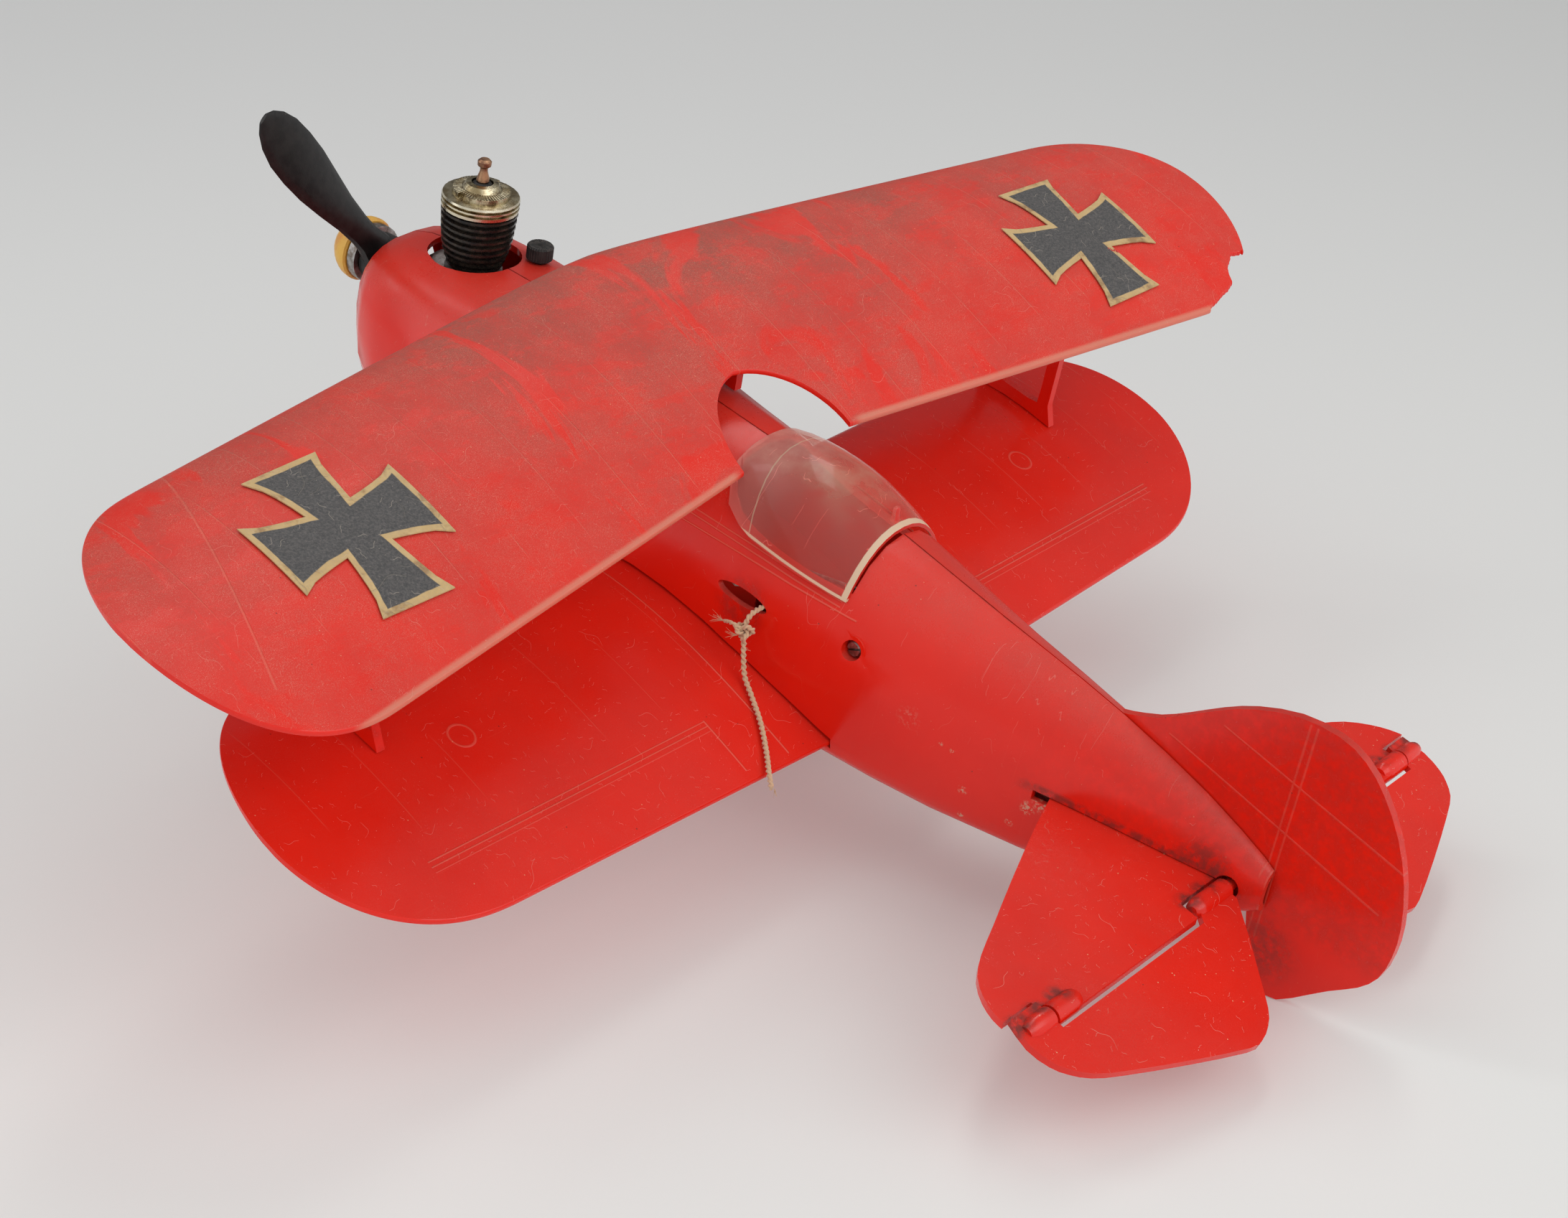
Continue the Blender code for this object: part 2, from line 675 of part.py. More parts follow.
def cabane_strut(side):
    """Short wedge strut between the fuselage deck and the wing centre section."""
    x = side * 9.0
    rows = []
    for y in (-200.0, -192.0, -184.0, -176.0, -168.0, -160.0):
        z_top = min(upper_z(x - 1.2, y), upper_z(x + 1.2, y)) - WING_SKIN - 0.7
        z_deck = max(deck_z(abs(x) - 1.2, y), deck_z(abs(x) + 1.2, y)) + GAP
        rows.append((y, z_deck, z_top))
    outline = [(y, z0) for y, z0, _ in rows] + [(y, z1) for y, _, z1 in reversed(rows)]
    verts, faces = prism(outline, x - 1.2, x + 1.2, "x")
    name = "cabane_strut_port" if side > 0 else "cabane_strut_starboard"
    return mesh_object(name, verts, faces, RED, (x, -176.0, 45.0))


def deck_z(x, y):
    """Height of the fuselage's outer skin above one x, y on the deck."""
    w, zt, _zb, zm, nu, _nl = station_values(y)
    c = min(x / w, 1.0)
    return zm + (zt - zm) * (1.0 - c ** nu) ** (1.0 / nu)


# ---------------------------------------------------------------- insignia

CROSS_ARM = 21.3
CROSS_END = 10.4
CROSS_NOTCH = 6.3
CROSS_T = 0.25
CROSS_PLACES = {1.0: (125.6, -152.0, 1.9), -1.0: (-130.0, -146.8, -3.5)}


def cross_outline():
    """Outline of a flared-arm cross as (u, v) points."""
    side = []
    for k in range(5):
        t = k / 4.0
        u = CROSS_ARM + (CROSS_NOTCH - CROSS_ARM) * t
        side.append((u, CROSS_END + (CROSS_NOTCH - CROSS_END) * t ** 0.55))
    end = [(CROSS_ARM, CROSS_END * f) for f in (-0.66, -0.33, 0.0, 0.33, 0.66)]
    arm = [(u, -v) for u, v in reversed(side)][1:] + end + side
    pts = []
    for q in range(4):
        c, s = math.cos(q * math.pi / 2), math.sin(q * math.pi / 2)
        pts.extend([(c * u - s * v, s * u + c * v) for u, v in arm])
    return pts


def insignia(side):
    """Paper sticker that follows the wing's upper surface."""
    cx, cy, turn = CROSS_PLACES[side]
    rim = cross_outline()
    levels = (0.0, 0.34, 0.68, 1.0)
    spin = math.radians(turn)
    cs, sn = math.cos(spin), math.sin(spin)

    def place(u, v, lift):
        x = cx + (cs * u - sn * v)
        y = cy + (sn * u + cs * v)
        return (x, y, upper_z(x, y) + 0.4 + lift)
    n = len(rim)
    verts, faces = [], []
    for lift in (CROSS_T, 0.0):
        verts.append(place(0.0, 0.0, lift))
        for level in levels[1:]:
            verts.extend([place(u * level, v * level, lift) for u, v in rim])
    count = 1 + n * (len(levels) - 1)
    for base in (0, count):
        for j in range(n):
            k = (j + 1) % n
            faces.append((base, base + 1 + j, base + 1 + k))
            for m in range(len(levels) - 2):
                a = base + 1 + m * n
                faces.append((a + j, a + n + j, a + n + k, a + k))
    last = 1 + (len(levels) - 2) * n
    for j in range(n):
        k = (j + 1) % n
        faces.append((last + j, last + k, count + last + k, count + last + j))
    name = "insignia_port" if side > 0 else "insignia_starboard"
    return mesh_object(name, verts, faces, PAPER, (cx, cy, upper_z(cx, cy)))


# ---------------------------------------------------------------- tail

def curved(points, first, last):
    """Add a point on a smooth curve between each two neighbours from first to last."""
    out = list(points[:first + 1])
    for i in range(first, last):
        p0, p1 = Vector(points[max(i - 1, first)]), Vector(points[i])
        p2, p3 = Vector(points[i + 1]), Vector(points[min(i + 2, last)])
        out.append(tuple((p1 * 9.0 + p2 * 9.0 - p0 - p3) / 16.0))
        out.append(points[i + 1])
    return out + list(points[last + 1:])


def make_stabilizer():
    half = curved(STAB_OUTLINE, 1, 9)
    outline = half + [(-x, y) for x, y in reversed(half[1:-1])]
    verts, faces = prism(outline, -STAB_T, 0.0, "z")
    stab = mesh_object("stabilizer", verts, faces, RED, (0.0, -22.0, 0.0))
    pieces = []
    for side in (1.0, -1.0):
        profile = ((1.9, 0.0), (2.4, 0.8), (2.7, 2.4), (2.7, 9.2))
        v, f = lathe(profile, (side * 62.5, HINGE_Y, HINGE_Z), (side, 0.0, 0.0), 18)
        pieces.append(mesh_object("barrel", v, f, RED))
    boolean(stab, pieces, "UNION")
    cuts = []
    for side in (1.0, -1.0):
        v, f = lathe(((1.35, 65.0), (1.35, 74.0)), (0.0, HINGE_Y, HINGE_Z), (side, 0.0, 0.0), 18)
        cuts.append(mesh_object("cutter", v, f, RED))
    return boolean(stab, cuts)


def elevator_transform(obj):
    """Droop the elevator about its hinge axis."""
    turn = Matrix.Rotation(-ELEV_DROOP, 4, "X")
    obj.data.transform(turn)
    return obj


def make_elevator():
    axis = (0.0, HINGE_Y, HINGE_Z)
    parts = []
    for side in (1.0, -1.0):
        # the starboard half was trimmed a little narrower at its tip
        trim = 1.0 if side > 0 else 0.75
        outline = []
        for x, y in curved(ELEV_OUTLINE, 5, 17):
            x = min(x, 74.0) + max(x - 74.0, 0.0) * trim
            if side < 0.0 and y > 6.0 and x > 30.0:
                y -= 0.07 * (y - 6.0)
            outline.append((side * x, axis[1] + y))
        v, f = prism(outline, axis[2] - 0.9, axis[2] + 0.9, "z")
        parts.append(mesh_object("half", v, f, RED, axis))
    for side in (1.0, -1.0):
        profile = ((1.5, 0.0), (2.6, 0.0), (2.6, 5.4), (1.7, 7.9))
        v, f = lathe(profile, (side * 72.3, axis[1], axis[2]), (side, 0.0, 0.0), 18)
        parts.append(mesh_object("barrel", v, f, RED, axis))
        v, f = lathe(((1.05, 0.0), (1.05, 7.2)), (side * 72.9, axis[1], axis[2]), (-side, 0.0, 0.0), 12)
        parts.append(mesh_object("pin", v, f, RED, axis))
        profile = ((2.5, 0.0), (2.5, 10.0), (2.1, 11.9), (1.3, 12.7))
        v, f = lathe(profile, (side * 5.7, axis[1], axis[2]), (side, 0.0, 0.0), 18)
        parts.append(mesh_object("barrel", v, f, RED, axis))
    v, f = lathe(((1.5, -7.4), (1.5, 7.4)), axis, (1.0, 0.0, 0.0), 16)
    joiner = mesh_object("elevator", v, f, RED, axis)
    horn = [(axis[1] - 1.2, axis[2]), (axis[1] + 1.2, axis[2]), (axis[1] + 0.9, axis[2] + HORN_LEN + 0.9),
            (axis[1] - 0.9, axis[2] + HORN_LEN + 0.9)]
    v, f = prism(horn, 0.2, 1.0, "x")
    parts.append(mesh_object("horn", v, f, RED, axis))
    elevator = boolean(joiner, parts, "UNION")
    return elevator_transform(elevator)


def make_fin(target):
    verts, faces = prism(curved(FIN_OUTLINE, 1, 17), -FIN_T, -0.15, "x")
    return boolean(target, [mesh_object("fin", verts, faces, RED)], "UNION")


# ---------------------------------------------------------------- fuselage halves

def wing_slot_cutter():
    """Block that follows the lower wing's section with a clearance all round."""
    rows_t, rows_b = [], []
    le, te = lower_edges(0.0)
    for x in (-40.0, 0.0, 40.0):
        row_t, row_b = [], []
        for f in CHORD_FRACTIONS:
            y = le - 0.5 + (te - le + 1.0) * f
            z = lower_z(0.0, min(max(y + 0.5, le), te))
            row_t.append((x, y, z + 0.95))
            row_b.append((x, y, z - WING_SKIN - 0.5 - 1.2 * max(0.0, 1.0 - f / 0.15)))
        rows_t.append(row_t)
        rows_b.append(row_b)
    verts, faces = grid_shell(rows_t, rows_b)
    return mesh_object("cutter", verts, faces, RED)


def canopy_cutter():
    """Block that opens the deck under the canopy."""
    outer, inner = [], []
    for i in range(13):
        y = -141.0 - GAP + (41.4 + 2.0 * GAP) * i / 12
        yc = min(max(y, -141.0), -99.6)
        row_o, row_i = [], []
        for j in range(15):
            a = -1.0 + 2.0 * j / 14
            x, _, z = canopy_point(yc, a * 0.999, GAP, 0.0)
            row_i.append((x * 0.82, y, canopy_rim_z(yc) + (z - canopy_rim_z(yc)) * 0.0 - GAP))
            row_o.append((x * 1.25, y, max(z, canopy_rim_z(yc)) + 12.0))
        outer.append(row_o)
        inner.append(row_i)
    verts, faces = grid_shell(outer, inner)
    return mesh_object("cutter", verts, faces, RED)


def slot_cutter():
    """Oval exit slot for the control lines in the port side."""
    outline = []
    for k in range(24):
        a = 2.0 * math.pi * k / 24
        outline.append((BELL_Y + 7.3 * math.cos(a), BELL_Z + 0.2 + 1.95 * math.sin(a) - 0.6 * math.cos(a)))
    verts, faces = prism(outline, 14.0, 34.0, "x")
    return mesh_object("cutter", verts, faces, RED)


SCREW_Y = -94.5
SCREW_Z = 13.4


def common_cuts(sign):
    cuts = [wing_slot_cutter(), canopy_cutter()]
    v, f = lathe(((COWL_HOLE_R, 36.0), (COWL_HOLE_R, 56.0)), (0.0, ENGINE_Y, 0.0), (0.0, 0.0, 1.0), 36)
    cuts.append(mesh_object("cutter", v, f, RED))
    v, f = box_points((-30.0, -44.0, -STAB_T - GAP), (30.0, 1.5, GAP))
    cuts.append(mesh_object("cutter", v, f, RED))
    v, f = lathe(((2.9, -30.0), (2.9, 30.0)), (0.0, HINGE_Y, HINGE_Z), (1.0, 0.0, 0.0), 18)
    cuts.append(mesh_object("cutter", v, f, RED))
    v, f = lathe(((1.3, -22.0), (1.3, 0.0)), (GEAR_FOOT_X * sign, GEAR_FOOT_Y, 0.0), (0.0, 0.0, 1.0), 12)
    cuts.append(mesh_object("cutter", v, f, RED))
    if sign < 0:
        v, f = lathe(((2.2, 30.0), (2.2, 56.0)), (KNOB_X, KNOB_Y, 0.0), (0.0, 0.0, 1.0), 16)
        cuts.append(mesh_object("cutter", v, f, RED))
    return cuts


def screw_boss(sign):
    """Boss inside one half for the through screw."""
    x_skin = surface_x(SCREW_Y, SCREW_Z)
    if sign > 0:
        v, f = lathe(((3.6, 0.4), (3.6, x_skin - 0.8)), (0.0, SCREW_Y, SCREW_Z), (1.0, 0.0, 0.0), 18)
    else:
        v, f = lathe(((3.2, 0.4), (3.2, x_skin - 0.8)), (0.0, SCREW_Y, SCREW_Z), (-1.0, 0.0, 0.0), 18)
    return mesh_object("boss", v, f, RED)


def screw_cuts(sign):
    x_skin = surface_x(SCREW_Y, SCREW_Z)
    cuts = []
    if sign > 0:
        v, f = lathe(((1.5, -2.0), (1.5, 40.0)), (0.0, SCREW_Y, SCREW_Z), (1.0, 0.0, 0.0), 16)
        cuts.append(mesh_object("cutter", v, f, RED))
        v, f = lathe(((2.5, x_skin - 2.6), (2.5, 40.0)), (0.0, SCREW_Y, SCREW_Z), (1.0, 0.0, 0.0), 18)
        cuts.append(mesh_object("cutter", v, f, RED))
    else:
        v, f = lathe(((1.5, -2.0), (1.5, 14.4)), (0.0, SCREW_Y, SCREW_Z), (-1.0, 0.0, 0.0), 16)
        cuts.append(mesh_object("cutter", v, f, RED))
    return cuts


def make_fuselage():
    port = fuselage_half("fuselage_port", 1.0)
    boolean(port, [screw_boss(1.0)], "UNION")
    boolean(port, common_cuts(1.0) + [slot_cutter()] + screw_cuts(1.0))
    starboard = fuselage_half("fuselage_starboard", -1.0)
    boolean(starboard, [screw_boss(-1.0)], "UNION")
    make_fin(starboard)
    boolean(starboard, common_cuts(-1.0) + screw_cuts(-1.0))
    return port, starboard


def make_screw():
    x_skin = surface_x(SCREW_Y, SCREW_Z)
    seat = x_skin - 2.6 + 0.1
    length = seat + 13.2
    profile = ((1.2, -length), (1.35, -length + 0.6), (1.35, 0.0), (2.1, 0.0), (2.1, 0.9), (1.7, 1.4))
    screw = turned("fuselage_screw", profile, (seat, SCREW_Y, SCREW_Z), (1.0, 0.0, 0.0), STEEL, 18)
    v, f = box_points((seat + 0.7, SCREW_Y - 3.0, SCREW_Z - 0.3), (seat + 2.0, SCREW_Y + 3.0, SCREW_Z + 0.3))
    slot = mesh_object("cutter", v, f, STEEL, (seat, SCREW_Y, SCREW_Z))
    slot.rotation_euler = (math.radians(25.0), 0.0, 0.0)
    return boolean(screw, [slot])


# ---------------------------------------------------------------- engine

def make_engine():
    up = (0.0, 0.0, 1.0)
    aft = (0.0, 1.0, 0.0)
    base = (0.0, ENGINE_Y, 0.0)
    # crankcase: front bearing, crank chamber and rear mounting plate
    profile = ((3.4, -42.0), (5.6, -42.0), (6.4, -34.0), (11.5, -28.0), (11.5, 0.0), (3.4, 0.0))
    case = turned("crankcase", profile, (0.0, -226.0, CRANK_Z), aft, ALLOY, 20, True)
    v, f = lathe(((7.45, 35.2), (7.45, 42.3)), base, up, 20)
    neck = mesh_object("neck", v, f, ALLOY)
    v, f = box_points((-15.0, -228.5, 18.7), (15.0, -225.6, 42.4))
    plate = mesh_object("plate", v, f, ALLOY)
    boolean(case, [neck, plate], "UNION")
    v, f = lathe(((BORE_R + 0.5, CRANK_Z), (BORE_R + 0.5, 50.0)), base, up, 20)
    bore = mesh_object("cutter", v, f, ALLOY)
    v, f = lathe(((9.9, -18.2), (9.9, 10.0)), (0.0, -230.0, CRANK_Z), aft, 24)
    chamber = mesh_object("cutter", v, f, ALLOY)
    screws = []
    for side in (1.0, -1.0):
        v, f = lathe(((1.4, -4.0), (1.4, 8.0)), (side * 12.6, -228.0, 24.0), aft, 12)
        screws.append(mesh_object("cutter", v, f, ALLOY))
    boolean(case, [bore, chamber] + screws)

    # cylinder: tapered stack of fins round an open bore
    z = 42.6
    fins = [(BORE_R, z)]
    for r in FIN_RADII:
        fins.extend([(r - 1.4, z), (r - 1.4, z + 0.9), (r, z + 1.0), (r, z + 1.6)])
        z += FIN_PITCH
    fins.append((6.6, z))
    fins.append((BORE_R, z))
    turned("cylinder", fins, base, up, BLACK_METAL, 20, True)
    top = z + 0.3

    # glow head with three rims, a notched disc and a centre boss
    head = ((4.0, top), (9.8, top), (HEAD_R, top + 0.8), (9.1, top + 1.0), (9.1, top + 1.4),
            (HEAD_R, top + 1.6), (HEAD_R, top + 2.0), (9.1, top + 2.2), (9.1, top + 2.6),
            (HEAD_R, top + 2.8), (9.7, top + 3.3), (7.5, top + 3.6), (7.4, top + 4.8), (4.9, top + 5.2),
            (4.1, top + 6.4), (2.8, top + 6.6), (2.8, top + 1.0))
    glow_head = turned("glow_head", head, base, up, HEAD_METAL, 28, True)
    cuts = []
    for side in (1.0, -1.0):
        cx = 7.4 * side
        v, f = box_points((cx - 1.2, ENGINE_Y - 1.0, top + 3.9), (cx + 1.2, ENGINE_Y + 1.0, top + 6.0))
        cuts.append(mesh_object("cutter", v, f, HEAD_METAL))
    boolean(glow_head, cuts)
    profile = ((1.5, top + 1.2), (2.5, top + 1.2), (2.5, top + 6.2), (1.9, top + 6.7), (1.5, top + 6.7))
    turned("glow_insulator", profile, base, up, BLACK, 16, True)
    profile = ((1.2, top + 0.6), (1.2, top + 6.9), (1.65, top + 7.0), (1.6, top + 7.7), (1.0, top + 9.6),
               (1.0, top + 10.5), (1.75, top + 11.1), (1.8, top + 12.2), (1.2, top + 12.8))
    turned("glow_post", profile, base, up, COPPER, 14)
    make_piston()


def make_piston():
    """Hollow piston with a fixed wrist pin, and the connecting rod hung on it."""
    up = (0.0, 0.0, 1.0)
    wrist = CRANK_Z + math.sqrt(ROD_LEN ** 2 - THROW ** 2)
    base = (0.0, ENGINE_Y, wrist)
    r = BORE_R - 0.3
    profile = ((3.9, -2.8), (r, -2.8), (r, 4.9), (0.0, 4.9), (0.0, 3.6), (3.9, 3.6))
    piston = turned("piston", profile, base, up, STEEL, 20, True)
    v, f = lathe(((0.9, -4.4), (0.9, 4.4)), base, (0.0, 1.0, 0.0), 12)
    boolean(piston, [mesh_object("pin", v, f, STEEL)], "UNION")

    tilt = math.asin(THROW / ROD_LEN)
    down = Vector((math.sin(tilt), 0.0, -math.cos(tilt)))
    across = Vector((math.cos(tilt), 0.0, math.sin(tilt)))
    y0, y1 = ENGINE_Y - 0.3, ENGINE_Y + 1.3

    def bar(width_top, width_low, start, end):
        pts = []
        for along, half in ((start, width_top), (start, -width_top), (end, -width_low), (end, width_low)):
            q = down * along + across * half
            pts.append((q.x, wrist + q.z))
        return prism(pts, y0, y1, "y")
    v, f = bar(1.0, 1.3, 1.0, ROD_LEN - 1.0)
    rod_body = mesh_object("connecting_rod", v, f, STEEL, base)
    eyes = []
    for along, radius in ((0.0, 2.0), (ROD_LEN, 2.3)):
        q = down * along
        v, f = lathe(((radius, y0), (radius, y1)), (q.x, 0.0, wrist + q.z), (0.0, 1.0, 0.0), 16)
        eyes.append(mesh_object("eye", v, f, STEEL))
    boolean(rod_body, eyes, "UNION")
    holes = []
    for along, radius in ((0.0, 1.25), (ROD_LEN, 1.4)):
        q = down * along
        v, f = lathe(((radius, y0 - 2.0), (radius, y1 + 2.0)), (q.x, 0.0, wrist + q.z), (0.0, 1.0, 0.0), 12)
        holes.append(mesh_object("cutter", v, f, STEEL))
    boolean(rod_body, holes)


def make_engine_screws():
    for side, label in ((1.0, "port"), (-1.0, "starboard")):
        profile = ((2.2, -1.6), (2.2, 0.0), (1.05, 0.0), (1.05, 6.3))
        turned("engine_screw_" + label, profile, (side * 12.6, -228.8, 24.0), (0.0, 1.0, 0.0), STEEL, 14)


def make_firewall_and_tank():
    """Fuel tank strapped behind the engine plate, and the bulkhead between them."""
    half = half_section(-223.8, FUSE_WALL + 1.0, 1.0, 15, 0.0)
    outline = [(x, z) for x, _y, z in half] + [(-x, z) for x, _y, z in reversed(half[1:-1])]
    v, f = prism(outline, -225.2, -222.4, "y")
    wall = mesh_object("engine_bulkhead", v, f, RED, (0.0, -224.0, 15.0))
    cuts = []
    for side in (1.0, -1.0):
        v, f = lathe(((1.2, -6.0), (1.2, 8.0)), (side * 12.6, -224.0, 24.0), (0.0, 1.0, 0.0), 12)
        cuts.append(mesh_object("cutter", v, f, RED))
    boolean(wall, cuts)
    outline = []
    for k in range(24):
        a = 2.0 * math.pi * k / 24
        outline.append((14.0 * abs(math.cos(a)) ** 0.6 * math.copysign(1.0, math.cos(a)),
                        18.0 + 11.0 * abs(math.sin(a)) ** 0.6 * math.copysign(1.0, math.sin(a))))
    v, f = prism(outline, -222.0, -193.0, "y")
    mesh_object("fuel_tank", v, f, STEEL, (0.0, -205.0, 18.0))


def make_needle_valve():
    profile = [(0.4, 37.0), (0.9, 39.0), (0.9, 46.7), (3.0, 46.8), (3.45, 47.2), (3.45, 50.4),
               (3.1, 50.8), (1.6, 50.6)]
    turned("needle_valve", profile, (KNOB_X, KNOB_Y, 0.0), (0.0, 0.0, 1.0), RUBBER, 18,
           origin=(KNOB_X, KNOB_Y, 46.0))


def make_propeller_group():
    front = (0.0, -1.0, 0.0)
    rim = (0.0, SPINNER_RIM_Y, CRANK_Z)
    # spinner: hollow dome on the crankshaft's threaded end
    profile = ((1.9, 0.0), (SPINNER_R - 0.5, 0.0), (SPINNER_R, 0.5), (SPINNER_R, 1.7), (8.4, 3.1),
               (7.5, 4.9), (6.0, 6.7), (4.1, 8.0), (1.8, 8.7), (0.0, 8.9), (0.0, 6.2), (1.9, 6.2))
    turned("spinner", profile, rim, front, YELLOW, 26, ring=True, origin=rim)
    turned("prop_collar", ((1.9, 0.3), (7.9, 0.3), (7.9, 2.9), (7.5, 3.1), (1.9, 3.1)), rim, (0.0, 1.0, 0.0),
           STEEL, 26, True)
    # propeller: one loft through both blades, a hub boss and a shaft hole
    hub_y = SPINNER_RIM_Y + 6.6
    centre = Vector((0.0, hub_y, CRANK_Z))
    blade = ((0.0, 5.4, 2.9, 0.0), (6.0, 4.9, 2.8, 6.0), (11.0, 4.1, 2.4, 14.0), (16.0, 4.4, 1.9, 22.0),
             (24.0, 5.3, 1.5, 24.0), (33.0, 6.6, 1.2, 21.0), (42.0, 7.5, 1.0, 17.0),
             (50.0, 7.6, 0.9, 14.0), (57.0, 7.1, 0.8, 12.0), (62.5, 5.6, 0.7, 11.0),
             (66.0, 3.6, 0.6, 10.0), (PROP_R, 1.7, 0.45, 10.0))
    along = Vector((math.sin(PROP_TILT), 0.0, math.cos(PROP_TILT)))
    across = Vector((0.0, 1.0, 0.0)).cross(along)
    rings = []
    rows = [(-r, hw, ht, tw) for r, hw, ht, tw in reversed(blade[1:])] + list(blade)
    for r, hw, ht, tw in rows:
        tw = math.radians(tw) * (1.0 if r > 0 else -1.0)
        chord = across * math.cos(tw) + Vector((0.0, 1.0, 0.0)) * math.sin(tw)
        thick = across * -math.sin(tw) + Vector((0.0, 1.0, 0.0)) * math.cos(tw)
        ring = []
        for k in range(14):
            a = 2.0 * math.pi * k / 14
            ring.append(tuple(centre + along * r + chord * (hw * math.cos(a)) + thick * (ht * math.sin(a))))
        rings.append(ring)
    v, f = loft(rings)
    prop = mesh_object("propeller", v, f, BLACK, tuple(centre))
    v, f = lathe(((6.6, -3.1), (6.8, 0.0), (6.6, 3.3)), tuple(centre), (0.0, 1.0, 0.0), 24)
    hub = mesh_object("hub", v, f, BLACK)
    boolean(prop, [hub], "UNION")
    v, f = lathe(((2.2, -8.0), (2.2, 8.0)), tuple(centre), (0.0, 1.0, 0.0), 16)
    boolean(prop, [mesh_object("cutter", v, f, BLACK)])
    # crankshaft: threaded nose, drive plate, journal and crank disc
    plate_y = SPINNER_RIM_Y + 10.1
    profile = ((1.5, -15.9), (1.5, 0.0), (6.6, 0.0), (6.6, 1.2), (3.1, 1.2), (3.1, 22.3), (7.6, 22.3),
               (7.6, 24.6))
    shaft = turned("crankshaft", profile, (0.0, plate_y, CRANK_Z), (0.0, 1.0, 0.0), STEEL, 20)
    v, f = lathe(((1.1, plate_y + 24.0), (1.1, ENGINE_Y - 0.7)), (THROW, 0.0, CRANK_Z), (0.0, 1.0, 0.0), 12)
    boolean(shaft, [mesh_object("pin", v, f, STEEL)], "UNION")


# ---------------------------------------------------------------- control run

def make_controls():
    thick = 1.5
    outline = [(-BELL_ARM - 2.0, -1.6), (-1.0, -3.2), (4.4, -7.8), (7.6, -7.4), (8.4, -5.2), (3.8, 0.0),
               (8.4, 5.2), (7.6, 7.4), (4.4, 7.8), (-1.0, 3.2), (-BELL_ARM - 2.0, 1.6)]
    outline = [(BELL_X + x, BELL_Y + y) for x, y in outline]
    v, f = prism(outline, BELL_Z - thick / 2, BELL_Z + thick / 2, "z")
    crank = mesh_object("bellcrank", v, f, NYLON, (BELL_X, BELL_Y, BELL_Z))
    cuts = []
    for x, y, r in ((0.0, 0.0, 1.8), (6.4, -5.8, 0.8), (6.4, 5.8, 0.8)):
        centre = (BELL_X + x, BELL_Y + y, BELL_Z)
        v, f = lathe(((r, -3.0), (r, 3.0)), centre, (0.0, 0.0, 1.0), 14)
        cuts.append(mesh_object("cutter", v, f, NYLON))
    boolean(crank, cuts)
    # pivot post stands on the lower wing's centre section
    z_floor = max(lower_z(BELL_X, BELL_Y + dy) for dy in (-4.0, 0.0, 4.0)) + 0.35
    low, high = BELL_Z - thick / 2 - 0.3, BELL_Z + thick / 2 + 0.3
    profile = ((3.6, z_floor), (3.6, low), (1.5, low), (1.5, high), (2.9, high), (2.9, high + 1.0),
               (2.2, high + 1.4))
    turned("bellcrank_pivot", profile, (BELL_X, BELL_Y, 0.0), (0.0, 0.0, 1.0), STEEL, 18,
           origin=(BELL_X, BELL_Y, BELL_Z))
    # pushrod: over the bellcrank's inner arm, back to the side of the elevator horn
    tip_y = HINGE_Y + HORN_LEN * math.sin(ELEV_DROOP)
    tip_z = HINGE_Z + HORN_LEN * math.cos(ELEV_DROOP)
    zf = BELL_Z + thick / 2 + 0.95
    x0 = BELL_X - BELL_ARM
    points = [(x0, BELL_Y - 1.5, zf), (x0, BELL_Y + 3.0, zf), (x0, SCREW_Y - 10.0, SCREW_Z + 4.6),
              (x0, SCREW_Y + 10.0, SCREW_Z + 4.6), (3.0, -56.0, 12.0), (2.4, -24.0, 7.0),
              (1.75, tip_y - 3.0, tip_z), (1.75, tip_y + 0.9, tip_z)]
    rod("pushrod", points, 0.5, STEEL, 8, (3.3, -60.0, 9.0))


# ---------------------------------------------------------------- landing gear

def make_landing_gear():
    inner = GEAR_FOOT_X
    y0 = GEAR_FOOT_Y
    zb = station_values(y0)[2]
    floor = zb + FUSE_WALL + 2.0
    leg = [(WHEEL_X + 6.6, AXLE_Y, AXLE_Z), (WHEEL_X - 5.4, AXLE_Y, AXLE_Z),
           (WHEEL_X - 9.0, AXLE_Y, AXLE_Z + 4.4), (inner + 1.6, y0, zb - 4.0), (inner, y0, zb - 1.6),
           (inner, y0, floor - 1.0), (inner - 1.4, y0, floor)]
    points = leg + [(-x, y, z) for x, y, z in reversed(leg)]
    rod("landing_gear_wire", points, 1.0, STEEL, 10, (0.0, y0, floor))
    for side, label in ((1.0, "port"), (-1.0, "starboard")):
        c = (side * WHEEL_X, AXLE_Y, AXLE_Z)
        profile = ((1.35, -4.0), (3.4, -4.0), (3.6, -1.8), (10.2, -1.8), (12.0, -3.9), (14.6, -3.9),
                   (16.6, -2.2), (WHEEL_R, 0.0), (16.6, 2.2), (14.6, 3.9), (12.0, 3.9), (10.2, 1.8),
                   (3.6, 1.8), (3.4, 4.0), (1.35, 4.0))
        turned("wheel_" + label, profile, c, (side, 0.0, 0.0), BLACK, 24, True)
        turned("wheel_retainer_" + label, ((1.1, 4.4), (2.3, 4.4), (2.3, 5.9), (1.1, 5.9)), c,
               (side, 0.0, 0.0), STEEL, 16, True)


# ---------------------------------------------------------------- twine

